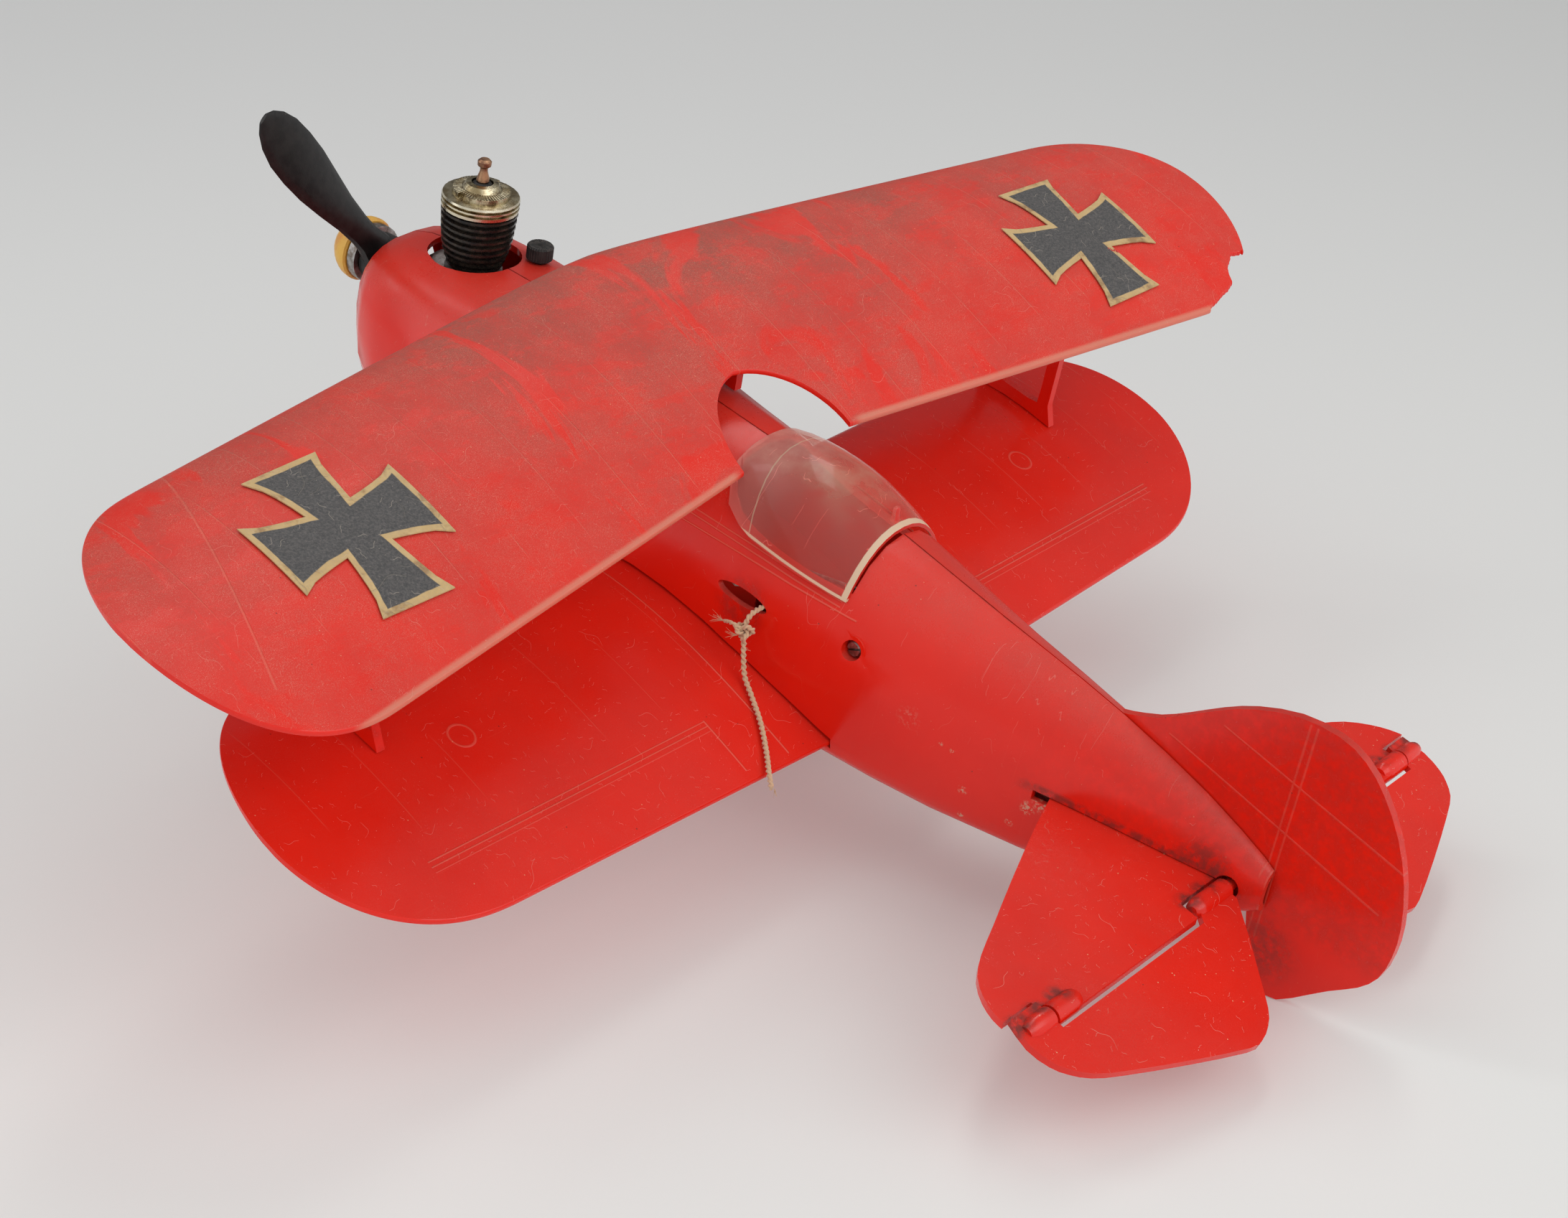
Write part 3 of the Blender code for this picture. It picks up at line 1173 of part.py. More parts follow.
def smooth_route(route, count):
    pts = [Vector(p) for p in route]
    pts = [pts[0] * 2.0 - pts[1]] + pts + [pts[-1] * 2.0 - pts[-2]]
    dense = []
    for i in range(1, len(pts) - 2):
        p0, p1, p2, p3 = pts[i - 1], pts[i], pts[i + 1], pts[i + 2]
        for k in range(24):
            t = k / 24.0
            dense.append(0.5 * ((2 * p1) + (p2 - p0) * t + (2 * p0 - 5 * p1 + 4 * p2 - p3) * t * t
                                + (3 * p1 - p0 - 3 * p2 + p3) * t ** 3))
    dense.append(pts[-2])
    lengths = [0.0]
    for a, b in zip(dense[:-1], dense[1:]):
        lengths.append(lengths[-1] + (b - a).length)
    out = []
    for k in range(count):
        target = lengths[-1] * k / (count - 1)
        i = min(int(np.searchsorted(lengths, target)), len(dense) - 1)
        i = max(i, 1)
        t = (target - lengths[i - 1]) / max(lengths[i] - lengths[i - 1], 1e-9)
        out.append(dense[i - 1].lerp(dense[i], t))
    return out


TWINE_R = 0.7
KNOT = (27.4, -119.0, 8.6)
KNOT_AXIS = (0.10, 0.10, -1.0)


def twine_route():
    """From the bellcrank's rear arm out of the slot, through the knot, over the wing and off its edge."""
    axis = Vector(KNOT_AXIS).normalized()
    knot = Vector(KNOT)
    route = [(21.0, -119.3, 13.2), (23.0, -119.3, 13.1), (25.4, -119.3, 12.8)]
    route += [tuple(knot - axis * 2.9), tuple(knot - axis * 1.0), tuple(knot + axis * 1.0),
              tuple(knot + axis * 2.9), (29.0, -116.0, lower_z(29.0, -116.0) + 2.4)]
    for x, y in ((31.0, -111.6), (34.6, -105.2), (39.0, -99.2), (43.4, -94.2)):
        route.append((x, y, lower_z(x, y) + 1.25))
    route.append((46.4, -90.6, LOWER_TE[1] + 0.6))
    return route


def make_twine():
    points = smooth_route(twine_route(), 22)
    curve = bpy.data.curves.new("twine", "CURVE")
    curve.dimensions = "3D"
    curve.resolution_u = 1
    curve.render_resolution_u = 0
    curve.bevel_depth = TWINE_R * MM
    curve.bevel_resolution = 2
    curve.use_fill_caps = True
    spline = curve.splines.new("POLY")
    spline.points.add(len(points) - 1)
    for k, p in enumerate(points):
        spline.points[k].co = (p.x * MM, p.y * MM, p.z * MM, 1.0)
    curve.materials.append(material(STRING))
    obj = bpy.data.objects.new("twine", curve)
    bpy.context.scene.collection.objects.link(obj)
    obj.parent = STANCE
    profile = ((1.1, -2.6), (2.1, -2.2), (2.8, -1.1), (2.9, 0.2), (2.5, 1.5), (1.9, 2.4), (1.1, 2.7))
    turned("twine_knot", profile, KNOT, KNOT_AXIS, STRING, 14, True)


# ---------------------------------------------------------------- assembly

clear_scene()
STANCE = make_stance()
make_fuselage()
make_upper_wing()
make_lower_wing()
strut_frame(1.0)
strut_frame(-1.0)
cabane_strut(1.0)
cabane_strut(-1.0)
make_canopy()
insignia(1.0)
insignia(-1.0)
make_stabilizer()
make_elevator()
make_screw()
make_engine()
make_engine_screws()
make_firewall_and_tank()
make_needle_valve()
make_propeller_group()
make_controls()
make_landing_gear()
make_twine()
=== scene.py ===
import json
import math
import random

import bmesh
import bpy
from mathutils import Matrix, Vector


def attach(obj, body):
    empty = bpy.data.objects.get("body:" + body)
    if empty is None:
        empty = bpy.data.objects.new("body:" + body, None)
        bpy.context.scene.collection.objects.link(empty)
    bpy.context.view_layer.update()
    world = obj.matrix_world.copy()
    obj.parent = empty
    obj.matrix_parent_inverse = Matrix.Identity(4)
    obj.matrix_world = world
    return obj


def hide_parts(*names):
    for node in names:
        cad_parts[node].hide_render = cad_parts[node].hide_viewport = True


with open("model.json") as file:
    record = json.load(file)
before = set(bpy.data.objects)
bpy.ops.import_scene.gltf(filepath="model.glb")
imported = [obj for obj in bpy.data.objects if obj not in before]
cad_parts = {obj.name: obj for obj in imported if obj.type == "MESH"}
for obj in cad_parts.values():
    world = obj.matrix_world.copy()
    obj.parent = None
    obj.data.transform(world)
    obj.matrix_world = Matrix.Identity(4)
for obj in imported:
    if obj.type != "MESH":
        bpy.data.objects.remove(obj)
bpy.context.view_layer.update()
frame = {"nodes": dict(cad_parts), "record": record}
NODES = frame["nodes"]
BODY_OF = {n: b for b, names in frame["record"]["behaviour"]["bodies"].items() for n in names}

# The body frame is in millimetres: nose -Y, port +X, up +Z. It stands pitched nose-up on wheels and rudder.
PITCH = math.radians(11.7)
SHIFT_Y = 116.47
LIFT = 28.1
MM = 0.001

# Driving places of the body frame
HINGE_Y, HINGE_Z = 4.2, -0.8
ENGINE_Y = -242.3
NEEDLE_X, NEEDLE_Y = -10.6, -230.0
CANOPY_REAR_Y = -101.2
UPPER_LE, UPPER_TE, UPPER_TE_SWEEP = -207.0, -136.1, 0.154
LOWER_LE, LOWER_TE = -170.2, -94.8
RIB_PITCH, FIRST_RIB = 18.76, 35.6

# Camera and stage, in metres
CAMERA_AT = (0.4828, 0.39367, 0.3460)
CAMERA_TARGET = (0.0478, 0.03037, 0.0822)
CAMERA_LENS = 65.68
FLOOR_HALF = 3.0
FLOOR_DROP = 0.0003


def place(x, y, z):
    """A point of the body frame, in millimetres, as a world point in metres."""
    c, s = math.cos(PITCH), math.sin(PITCH)
    return Vector((x, y * c + z * s + SHIFT_Y, -y * s + z * c + LIFT)) * MM


# ---------------------------------------------------------------- camera, floor and light

def aimed(name, data, location, target):
    """An object of the scene at location that looks at target."""
    obj = bpy.data.objects.new(name, data)
    bpy.context.scene.collection.objects.link(obj)
    obj.location = location
    obj.rotation_euler = (Vector(target) - Vector(location)).to_track_quat("-Z", "Y").to_euler()
    return obj


def make_camera():
    """The photograph's viewpoint."""
    data = bpy.data.cameras.new("camera")
    data.sensor_width = 36.0
    data.lens = CAMERA_LENS
    data.clip_start = 0.01
    bpy.context.scene.camera = aimed("camera", data, CAMERA_AT, CAMERA_TARGET)


def area_light(name, location, target, size, power, colour):
    """A rectangular soft box; size is its width and length in metres, power is in watts."""
    data = bpy.data.lights.new(name, "AREA")
    data.shape = "RECTANGLE"
    data.size, data.size_y = size
    data.energy = power
    data.color = colour
    aimed(name, data, location, target)


def make_studio():
    """A light tent with four soft boxes."""
    scene = bpy.context.scene
    scene.view_settings.view_transform = "Standard"
    world = bpy.data.worlds.new("studio")
    scene.world = world
    world.use_nodes = True
    tree = world.node_tree
    back = tree.nodes["Background"]
    back.inputs[0].default_value = (0.98, 0.99, 1.0, 1.0)
    coord = tree.nodes.new("ShaderNodeTexCoord")

    def lobe(direction, values):
        """Smooth ramp on the angle to direction; values are from_min, from_max, to_min and to_max."""
        toward = tree.nodes.new("ShaderNodeVectorMath")
        toward.operation = "DOT_PRODUCT"
        toward.inputs[1].default_value = direction
        ramp = tree.nodes.new("ShaderNodeMapRange")
        ramp.interpolation_type = "SMOOTHSTEP"
        for socket, value in zip(list(ramp.inputs)[1:5], values):
            socket.default_value = value
        tree.links.new(coord.outputs["Generated"], toward.inputs[0])
        tree.links.new(toward.outputs["Value"], ramp.inputs[0])
        return ramp.outputs[0]

    # brightest above the tail, with one black flag on the far side that keeps the wings' tops deep red
    product = tree.nodes.new("ShaderNodeMath")
    product.operation = "MULTIPLY"
    tree.links.new(lobe((-0.15, 0.50, 0.85), (-0.30, 0.90, 0.58, 0.98)), product.inputs[0])
    tree.links.new(lobe((-0.62, -0.45, 0.64), (0.42, 0.86, 1.0, 0.24)), product.inputs[1])
    tree.links.new(product.outputs[0], back.inputs[1])
    area_light("overhead", (-0.46, -0.22, 1.30), (0.0, 0.0, 0.02), (0.24, 0.9), 2.6, (1.0, 0.98, 0.97))
    area_light("front", (0.0, 1.30, 0.85), (0.0, 0.05, 0.03), (1.5, 0.9), 6.2, (1.0, 0.99, 0.98))
    area_light("side", (1.05, -0.80, 0.50), (0.0, 0.0, 0.05), (0.6, 1.1), 2.2, (0.98, 0.99, 1.0))
    area_light("strip", (0.33, -0.80, 1.00), (0.0, 0.0, 0.05), (0.22, 0.8), 1.3, (1.0, 0.99, 0.99))


def make_floor():
    """A pale matt floor with painted shade that greys it far off and further to the right; its faint glow
    is painted light that keeps the shadows light.
    """
    bm = bmesh.new()
    bmesh.ops.create_grid(bm, x_segments=2, y_segments=2, size=FLOOR_HALF)
    mesh = bpy.data.meshes.new("floor")
    bm.to_mesh(mesh)
    bm.free()
    floor = bpy.data.objects.new("floor", mesh)
    bpy.context.scene.collection.objects.link(floor)
    floor.location = (0.0, 0.0, -FLOOR_DROP)
    p = Paint("floor_paper")
    # painted shade: the paper darkens away from the camera, and most of all far to the right
    far = p.step(p.dot(p.world, (-0.77, -0.64, 0.0)), -0.55, 0.9)
    shade = p.mix(far, (0.70, 0.70, 0.68, 1), (0.50, 0.50, 0.495, 1))
    right = p.step(p.dot(p.world, (-0.64, 0.77, 0.0)), -0.1, 1.1)
    shade = p.mix(p.mul(p.mul(right, far), 0.5), shade, (0.30, 0.31, 0.295, 1))
    grain = p.noise(900.0, 2, vector=p.world)
    p.colour(p.mix(p.mul(grain, 0.06), shade, (0.55, 0.55, 0.53, 1)))
    p.rough(0.85)
    # painted light: a faint glow of the floor itself
    p.bsdf.inputs["Emission Color"].default_value = (1.0, 0.99, 0.97, 1)
    p.bsdf.inputs["Emission Strength"].default_value = 0.13
    mesh.materials.append(p.mat)


# ---------------------------------------------------------------- material nodes

FULL_TURN = 6.2832


class Paint:
    """One material's node tree, written with short calls. Lengths are millimetres of the body frame.

    A value may be a number, a colour, a vector or another node's output socket.
    """

    def __init__(self, name):
        self.mat = bpy.data.materials.new(name)
        self.mat.use_nodes = True
        self.tree = self.mat.node_tree
        self.tree.nodes.clear()
        self.out = self.tree.nodes.new("ShaderNodeOutputMaterial")
        self.bsdf = self.tree.nodes.new("ShaderNodeBsdfPrincipled")
        self.tree.links.new(self.bsdf.outputs[0], self.out.inputs[0])
        self.world = self.tree.nodes.new("ShaderNodeTexCoord").outputs["Object"]
        # world metres to body millimetres: the inverse of place()
        frame_map = self.tree.nodes.new("ShaderNodeMapping")
        self.tree.links.new(self.world, frame_map.inputs["Vector"])
        c, s = math.cos(PITCH), math.sin(PITCH)
        frame_map.inputs["Rotation"].default_value = (PITCH, 0.0, 0.0)
        frame_map.inputs["Scale"].default_value = (1.0 / MM, 1.0 / MM, 1.0 / MM)
        shift = (0.0, -(SHIFT_Y * c - LIFT * s), -(SHIFT_Y * s + LIFT * c))
        frame_map.inputs["Location"].default_value = shift
        self.p = frame_map.outputs[0]
        self.x, self.y, self.z = self.split(self.p)
        self.height = None

    def node(self, kind, values=(), **settings):
        """A new node with settings, its first inputs filled from values."""
        n = self.tree.nodes.new(kind)
        for key, value in settings.items():
            setattr(n, key, value)
        for socket, value in zip(n.inputs, values):
            self.put(socket, value)
        return n

    def put(self, socket, value):
        """Link or set one input; None leaves it alone."""
        if value is None:
            return
        if isinstance(value, bpy.types.NodeSocket):
            self.tree.links.new(value, socket)
        else:
            socket.default_value = value

    def split(self, vector):
        return self.node("ShaderNodeSeparateXYZ", (vector,)).outputs

    def join(self, x, y, z=0.0):
        return self.node("ShaderNodeCombineXYZ", (x, y, z)).outputs[0]

    def calc(self, op, a, b=None, clamp=False):
        return self.node("ShaderNodeMath", (a, b), operation=op, use_clamp=clamp).outputs[0]

    def add(self, a, b, clamp=False):
        return self.calc("ADD", a, b, clamp=clamp)

    def sub(self, a, b):
        return self.calc("SUBTRACT", a, b)

    def mul(self, a, b):
        return self.calc("MULTIPLY", a, b)

    def peak(self, *values):
        """The largest of the values."""
        out = values[0]
        for v in values[1:]:
            out = self.calc("MAXIMUM", out, v)
        return out

    def least(self, *values):
        """The smallest of the values."""
        out = values[0]
        for v in values[1:]:
            out = self.calc("MINIMUM", out, v)
        return out

    def size(self, a):
        return self.calc("ABSOLUTE", a)

    def step(self, value, low, high, start=0.0, end=1.0):
        """Smooth step from start to end as value goes from low to high."""
        n = self.node("ShaderNodeMapRange", interpolation_type="SMOOTHSTEP")
        for socket, v in zip(n.inputs[:5], (value, low, high, start, end)):
            self.put(socket, v)
        return n.outputs[0]

    def vec(self, op, a, b=None, scale=None):
        n = self.node("ShaderNodeVectorMath", (a, b), operation=op)
        if scale is not None:
            self.put(n.inputs["Scale"], scale)
        return n

    def dot(self, a, b):
        return self.vec("DOT_PRODUCT", a, b).outputs["Value"]

    def scaled(self, vector, scale, turn_z=0.0, shift=(0.0, 0.0, 0.0)):
        """The vector scaled, turned about Z by radians and shifted."""
        n = self.node("ShaderNodeMapping", (vector,))
        n.inputs["Scale"].default_value = scale
        n.inputs["Rotation"].default_value = (0.0, 0.0, turn_z)
        n.inputs["Location"].default_value = shift
        return n.outputs[0]

    def noise(self, scale, detail=3.0, rough=0.5, vector=None, distort=0.0):
        """Noise from 0 to 1 with scale cells to the millimetre."""
        n = self.node("ShaderNodeTexNoise", noise_dimensions="3D")
        self.put(n.inputs["Vector"], self.p if vector is None else vector)
        n.inputs["Scale"].default_value = scale
        n.inputs["Detail"].default_value = detail
        n.inputs["Roughness"].default_value = rough
        n.inputs["Distortion"].default_value = distort
        return n.outputs["Fac"]

    def mix(self, factor, a, b):
        """Colour a, turning to b as factor goes from 0 to 1."""
        n = self.node("ShaderNodeMix", data_type="RGBA", clamp_factor=True)
        self.put(n.inputs[0], factor)
        self.put(n.inputs[6], a)
        self.put(n.inputs[7], b)
        return n.outputs[2]

    def blend(self, factor, a, b):
        """Number a, turning to b as factor goes from 0 to 1."""
        n = self.node("ShaderNodeMix", data_type="FLOAT", clamp_factor=True)
        self.put(n.inputs[0], factor)
        self.put(n.inputs[2], a)
        self.put(n.inputs[3], b)
        return n.outputs[0]

    def specks(self, scale, radius, keep, vector=None):
        """Round specks: cells of a Voronoi pattern whose random value is above keep."""
        n = self.node("ShaderNodeTexVoronoi")
        self.put(n.inputs["Vector"], self.p if vector is None else vector)
        n.inputs["Scale"].default_value = scale
        red = self.node("ShaderNodeSeparateColor", (n.outputs["Color"],)).outputs[0]
        near = self.step(n.outputs["Distance"], radius * 0.6, radius, 1.0, 0.0)
        return self.mul(near, self.calc("GREATER_THAN", red, keep))

    def threads(self, scale, width, length, bend, keep, shift=(0.0, 0.0, 0.0)):
        """Short curved threads: in some cells of a Voronoi pattern, one arc of its own angle and bend."""
        flat = self.join(self.add(self.x, self.mul(self.z, 0.8)), self.y)
        flat = self.scaled(flat, (1.0, 1.0, 1.0), 0.0, shift)
        cell = self.node("ShaderNodeTexVoronoi", voronoi_dimensions="2D")
        self.put(cell.inputs["Vector"], flat)
        cell.inputs["Scale"].default_value = scale
        pick = self.node("ShaderNodeSeparateColor", (cell.outputs["Color"],)).outputs
        rel = self.split(self.vec("SUBTRACT", flat, cell.outputs["Position"]).outputs[0])
        angle = self.mul(pick[0], FULL_TURN)
        c, s = self.calc("COSINE", angle), self.calc("SINE", angle)
        u = self.add(self.mul(c, rel[0]), self.mul(s, rel[1]))
        v = self.sub(self.mul(c, rel[1]), self.mul(s, rel[0]))
        arc = self.mul(self.mul(self.sub(pick[1], 0.5), 2.0 * bend), self.mul(u, u))
        wave = self.mul(self.calc("SINE", self.mul(u, 9.0 / length)), 0.05 * length)
        gap = self.size(self.sub(self.sub(v, arc), wave))
        line = self.step(gap, width * 0.3, width, 1.0, 0.0)
        ends = self.step(self.size(u), length * 0.40, length * 0.5, 1.0, 0.0)
        return self.mul(self.mul(line, ends), self.calc("GREATER_THAN", pick[2], keep))

    def scratch(self, length, spacing, angle, keep, shift=(0.0, 0.0, 0.0)):
        """Fine straight scratches in the body's xy plane."""
        v = self.scaled(self.p, (1.0 / length, 1.0 / spacing, 0.01), angle, shift)
        return self.step(self.noise(1.0, 2.0, 0.6, v), keep, keep + 0.05)

    def segment(self, u, v, a, b, soft=0.25, width=0.15):
        """1 on a straight line from a to b in the plane of u and v, fading within soft."""
        here = self.join(u, v)
        d = Vector((b[0] - a[0], b[1] - a[1]))
        length = d.length
        d = d / length
        rel = self.vec("SUBTRACT", here, (a[0], a[1], 0.0)).outputs[0]
        t = self.least(self.peak(self.dot(rel, (d.x, d.y, 0.0)), 0.0), length)
        foot = self.vec("SCALE", (d.x, d.y, 0.0), None, t).outputs[0]
        gap = self.vec("DISTANCE", rel, foot).outputs["Value"]
        return self.step(gap, width, width + soft, 1.0, 0.0)

    def near(self, centre, inner, outer):
        """1 within inner of a point of the body frame, 0 beyond outer."""
        return self.step(self.vec("DISTANCE", self.p, centre).outputs["Value"], inner, outer, 1.0, 0.0)

    def facing_up(self, low=0.1, high=0.85):
        """How far the surface faces up in the world, for settled dust."""
        normal = self.node("ShaderNodeNewGeometry").outputs["Normal"]
        return self.step(self.split(normal)[2], low, high)

    def colour(self, value):
        self.put(self.bsdf.inputs["Base Color"], value)

    def rough(self, value):
        self.put(self.bsdf.inputs["Roughness"], value)

    def metal(self, value):
        self.put(self.bsdf.inputs["Metallic"], value)

    def bump(self, height):
        """Raise the surface by height, on top of any bump so far."""
        n = self.node("ShaderNodeBump")
        n.inputs["Strength"].default_value = 1.0
        n.inputs["Distance"].default_value = MM
        self.put(n.inputs["Height"], height)
        if self.height is not None:
            self.tree.links.new(self.height, n.inputs["Normal"])
        self.height = n.outputs[0]
        self.put(self.bsdf.inputs["Normal"], self.height)


# ---------------------------------------------------------------- red moulded plastic

# Base colours and what lies on them
RED_DEEP = (0.64, 0.009, 0.003, 1)
RED = (0.84, 0.016, 0.004, 1)
RED_PALE = (0.82, 0.11, 0.06, 1)
DUST = (0.20, 0.088, 0.066, 1)
POWDER = (0.62, 0.33, 0.24, 1)
# near black: soot specks, and painted shade in corners, at the hinges and under the tail
GRIME_AND_SHADE = (0.045, 0.018, 0.014, 1)
LINE = (0.80, 0.20, 0.13, 1)
LINT = (0.78, 0.46, 0.36, 1)
# pale: worn scuffs on the fuselage, and a painted highlight along the upper wing's trailing edge
WEAR_AND_HIGHLIGHT = (0.62, 0.30, 0.20, 1)
TAN_GRIT = (0.72, 0.42, 0.24, 1)
WHITE_GRIT = (0.78, 0.50, 0.42, 1)


def red_plastic(name, dust, lint, lines=None, grime_and_shade=None, pale=None, film=None, scratches=0.5):
    """Glossy red moulded plastic with a dust film, lint, flecks, fine scratches, soiling and painted shade.

    lines, grime and pale draw engraved lines, soiling with painted shade, and worn scuffs with a painted
    highlight along an edge; film spreads the dust over a wing.
    """
    p = Paint(name)
    base = p.mix(p.noise(0.035, 3.0, 0.55), RED_DEEP, RED)
    streak = p.scratch(26.0, 0.5, 0.7, 0.68)
    streak2 = p.scratch(18.0, 0.4, -0.5, 0.70, (7.0, 3.0, 1.0))
    fine = p.mul(p.peak(streak, streak2), 0.22 * scratches)
    base = p.mix(fine, base, RED_PALE)
    height = p.mul(p.noise(0.11, 2.0, 0.5), 0.10)
    if lines is not None:
        line = lines(p)
        base = p.mix(p.mul(line, 0.38), base, LINE)
        height = p.add(height, p.mul(line, 0.10))
    # settled dust: a broken film, heavier where the surface faces up
    cloud = p.noise(0.045, 5.0, 0.62, p.scaled(p.p, (1.0, 0.7, 1.0), 0.5))
    grainy = p.noise(2.2, 3.0, 0.75)
    amount = p.mul(p.step(cloud, 0.28, 0.72, 0.50, 1.0), p.step(grainy, 0.30, 0.72, 0.72, 1.15))
    amount = p.mul(amount, p.facing_up())
    amount = p.mul(amount, dust if film is None else film(p, dust))
    amount = p.least(p.peak(amount, 0.0), 0.85)
    base = p.mix(amount, base, DUST)
    grit = p.step(p.noise(5.0, 2.0, 0.8), 0.45, 0.75)
    powder = p.mul(p.mul(grit, p.facing_up()), p.step(p.noise(0.06, 5.0, 0.7), 0.30, 0.70, 0.2, 1.0))
    base = p.mix(p.mul(powder, dust * 0.62), base, POWDER)
    # pale paints worn scuffs, and on the upper wing a painted highlight along its trailing edge
    if pale is not None:
        base = p.mix(pale(p), base, WEAR_AND_HIGHLIGHT)
    # specks of tan grit, white grit in two sizes and dark soot
    tan = p.specks(0.42, 0.075, 0.80)
    white = p.specks(0.62, 0.075, 0.88, p.scaled(p.p, (1, 1, 1), 0.3, (13, 5, 2)))
    tiny = p.specks(1.5, 0.12, 0.84, p.scaled(p.p, (1, 1, 1), 0.5, (3, 25, 8)))
    soot = p.specks(0.25, 0.06, 0.86, p.scaled(p.p, (1, 1, 1), 0.8, (3, 17, 5)))
    up = p.facing_up(-0.2, 0.4)  # lint and grit also cling to the sides
    base = p.mix(p.mul(p.mul(tan, up), 0.55 * lint), base, TAN_GRIT)
    base = p.mix(p.mul(p.mul(p.peak(white, p.mul(tiny, 0.8)), up), 0.5 * lint), base, WHITE_GRIT)
    base = p.mix(p.mul(soot, 0.6), base, GRIME_AND_SHADE)
    thread = p.peak(p.threads(0.085, 0.07, 7.5, 0.16, 0.88),
                    p.threads(0.15, 0.06, 4.0, 0.4, 0.86, (40, 11, 0)),
                    p.threads(0.36, 0.06, 1.4, 0.6, 0.76, (9, 60, 0)))
    thread = p.mul(p.mul(thread, up), 0.26 * lint)
    base = p.mix(thread, base, LINT)
    if grime_and_shade is not None:
        # grime paints soiling and painted shade: on the fuselage and tail it darkens corners, hinges and
        # the underside, where shade falls
        dirt_and_shade = p.mul(grime_and_shade(p), p.step(p.noise(0.35, 4.0, 0.65), 0.30, 0.62))
        base = p.mix(p.mul(dirt_and_shade, 0.85), base, GRIME_AND_SHADE)
        amount = p.peak(amount, p.mul(dirt_and_shade, 0.6))
    p.colour(base)
    smooth, dull = (0.13, 0.23) if film is None else (0.30, 0.40)
    gloss = p.blend(p.noise(0.5, 3.0), smooth, dull)
    p.rough(p.add(gloss, p.add(p.mul(amount, 0.7), p.mul(thread, 0.4)), clamp=True))
    p.bump(height)
    p.bump(p.add(p.mul(p.noise(1.6, 3.0, 0.6), 0.02), p.mul(thread, 0.06)))
    p.bsdf.inputs["Specular IOR Level"].default_value = 0.42
    p.bsdf.inputs["Subsurface Weight"].default_value = 0.12
    p.bsdf.inputs["Subsurface Radius"].default_value = (1.0, 0.12, 0.08)
    p.bsdf.inputs["Subsurface Scale"].default_value = 0.0012
    return p.mat


def wing_ribs(p, low, high, depth=1.0):
    """Faint chordwise rib lines from y low to high, broken where they are worn away."""
    t = p.calc("DIVIDE", p.sub(p.x, FIRST_RIB), RIB_PITCH)
    gap = p.mul(p.size(p.sub(t, p.calc("ROUND", t))), RIB_PITCH)
    line = p.step(gap, 0.06, 0.26, 1.0, 0.0)
    span = p.mul(p.step(p.y, low, low + 6.0), p.step(p.y, high - 8.0, high, 1.0, 0.0))
    worn = p.step(p.noise(0.05, 2.0), 0.33, 0.50)
    return p.mul(p.mul(line, span), p.mul(worn, depth))


def upper_wing_lines(p):
    """The ribs and one line bent out of place on the port side."""
    ribs = wing_ribs(p, -196.0, -128.0, 0.7)
    bent = p.segment(p.x, p.y, (144.5, -190.5), (167.4, -125.7))
    return p.peak(ribs, p.mul(bent, 0.8))


def upper_film(p, dust):
    """Dust is thickest at the middle and along the leading edge, and thin along the trailing edge."""
    u = p.calc("DIVIDE", p.sub(p.add(p.y, 205.0), p.mul(p.size(p.x), 0.12)), 70.0)
    front = p.step(u, 0.0, 0.9, 1.0, 0.42)
    middle = p.step(p.size(p.sub(p.x, -10.0)), 20.0, 170.0, 1.0, 0.55)
    swept = p.noise(0.032, 4.0, 0.6, p.scaled(p.p, (1.0, 0.35, 1.0), -0.6), 1.2)
    wiped = p.step(swept, 0.54, 0.59, 1.0, 0.25)
    rubbed = p.step(p.noise(0.09, 5.0, 0.7, p.scaled(p.p, (0.6, 1.4, 1.0), 0.5)), 0.50, 0.60, 1.0, 0.6)
    wiped = p.mul(wiped, rubbed)
    return p.mul(p.mul(front, middle), p.mul(wiped, dust))


def upper_trailing_highlight(p):
    """Painted highlight: a pale line along the trailing edge."""
    trailing = p.add(p.mul(p.size(p.x), UPPER_TE_SWEEP), UPPER_TE)
    edge = p.step(p.sub(p.y, trailing), -1.5, -0.4)
    return p.mul(p.mul(edge, 0.55), p.step(p.size(p.x), 20.0, 24.0))


def lower_wing_lines(p):
    """Aileron lines, the root's line, one round boss a side and the ribs."""
    ax = p.size(p.x)
    root, tip, hinge = 47.0, 134.0, -112.0
    lines = [p.segment(ax, p.y, (root, hinge + d), (tip, hinge + d), 0.14, 0.08) for d in (0.0, 1.3)]
    lines.append(p.mul(p.segment(ax, p.y, (root, -109.4), (tip, -109.4), 0.14, 0.06), 0.5))
    lines.append(p.segment(ax, p.y, (root, hinge), (root, -98.0), 0.25, 0.1))
    lines.append(p.segment(ax, p.y, (33.0, -160.0), (33.0, -97.0), 0.25, 0.1))
    disc = p.vec("DISTANCE", p.join(ax, p.y), (104.0, -134.0, 0.0)).outputs["Value"]
    ring = p.step(p.size(p.sub(disc, 3.1)), 0.1, 0.4, 1.0, 0.0)
    return p.peak(*lines, p.mul(ring, 0.8), p.mul(wing_ribs(p, -162.0, -116.0), 0.35))


def fin_lines(p):
    """Two slanting ribs and the rudder's double hinge line, on the fin's flat sides only."""
    lines = [((-21.0, 24.0), (37.0, 10.0)), ((-9.0, 33.0), (41.0, 22.0))]
    out = [p.segment(p.y, p.z, a, b, 0.25, 0.1) for a, b in lines]
    out += [p.segment(p.y, p.z, (10.0 + d, 44.0), (10.0 + d, -12.0), 0.25, 0.1) for d in (0.0, 1.8)]
    return p.mul(p.peak(*out), p.step(p.size(p.x), 2.6, 3.0, 0.5, 0.0))


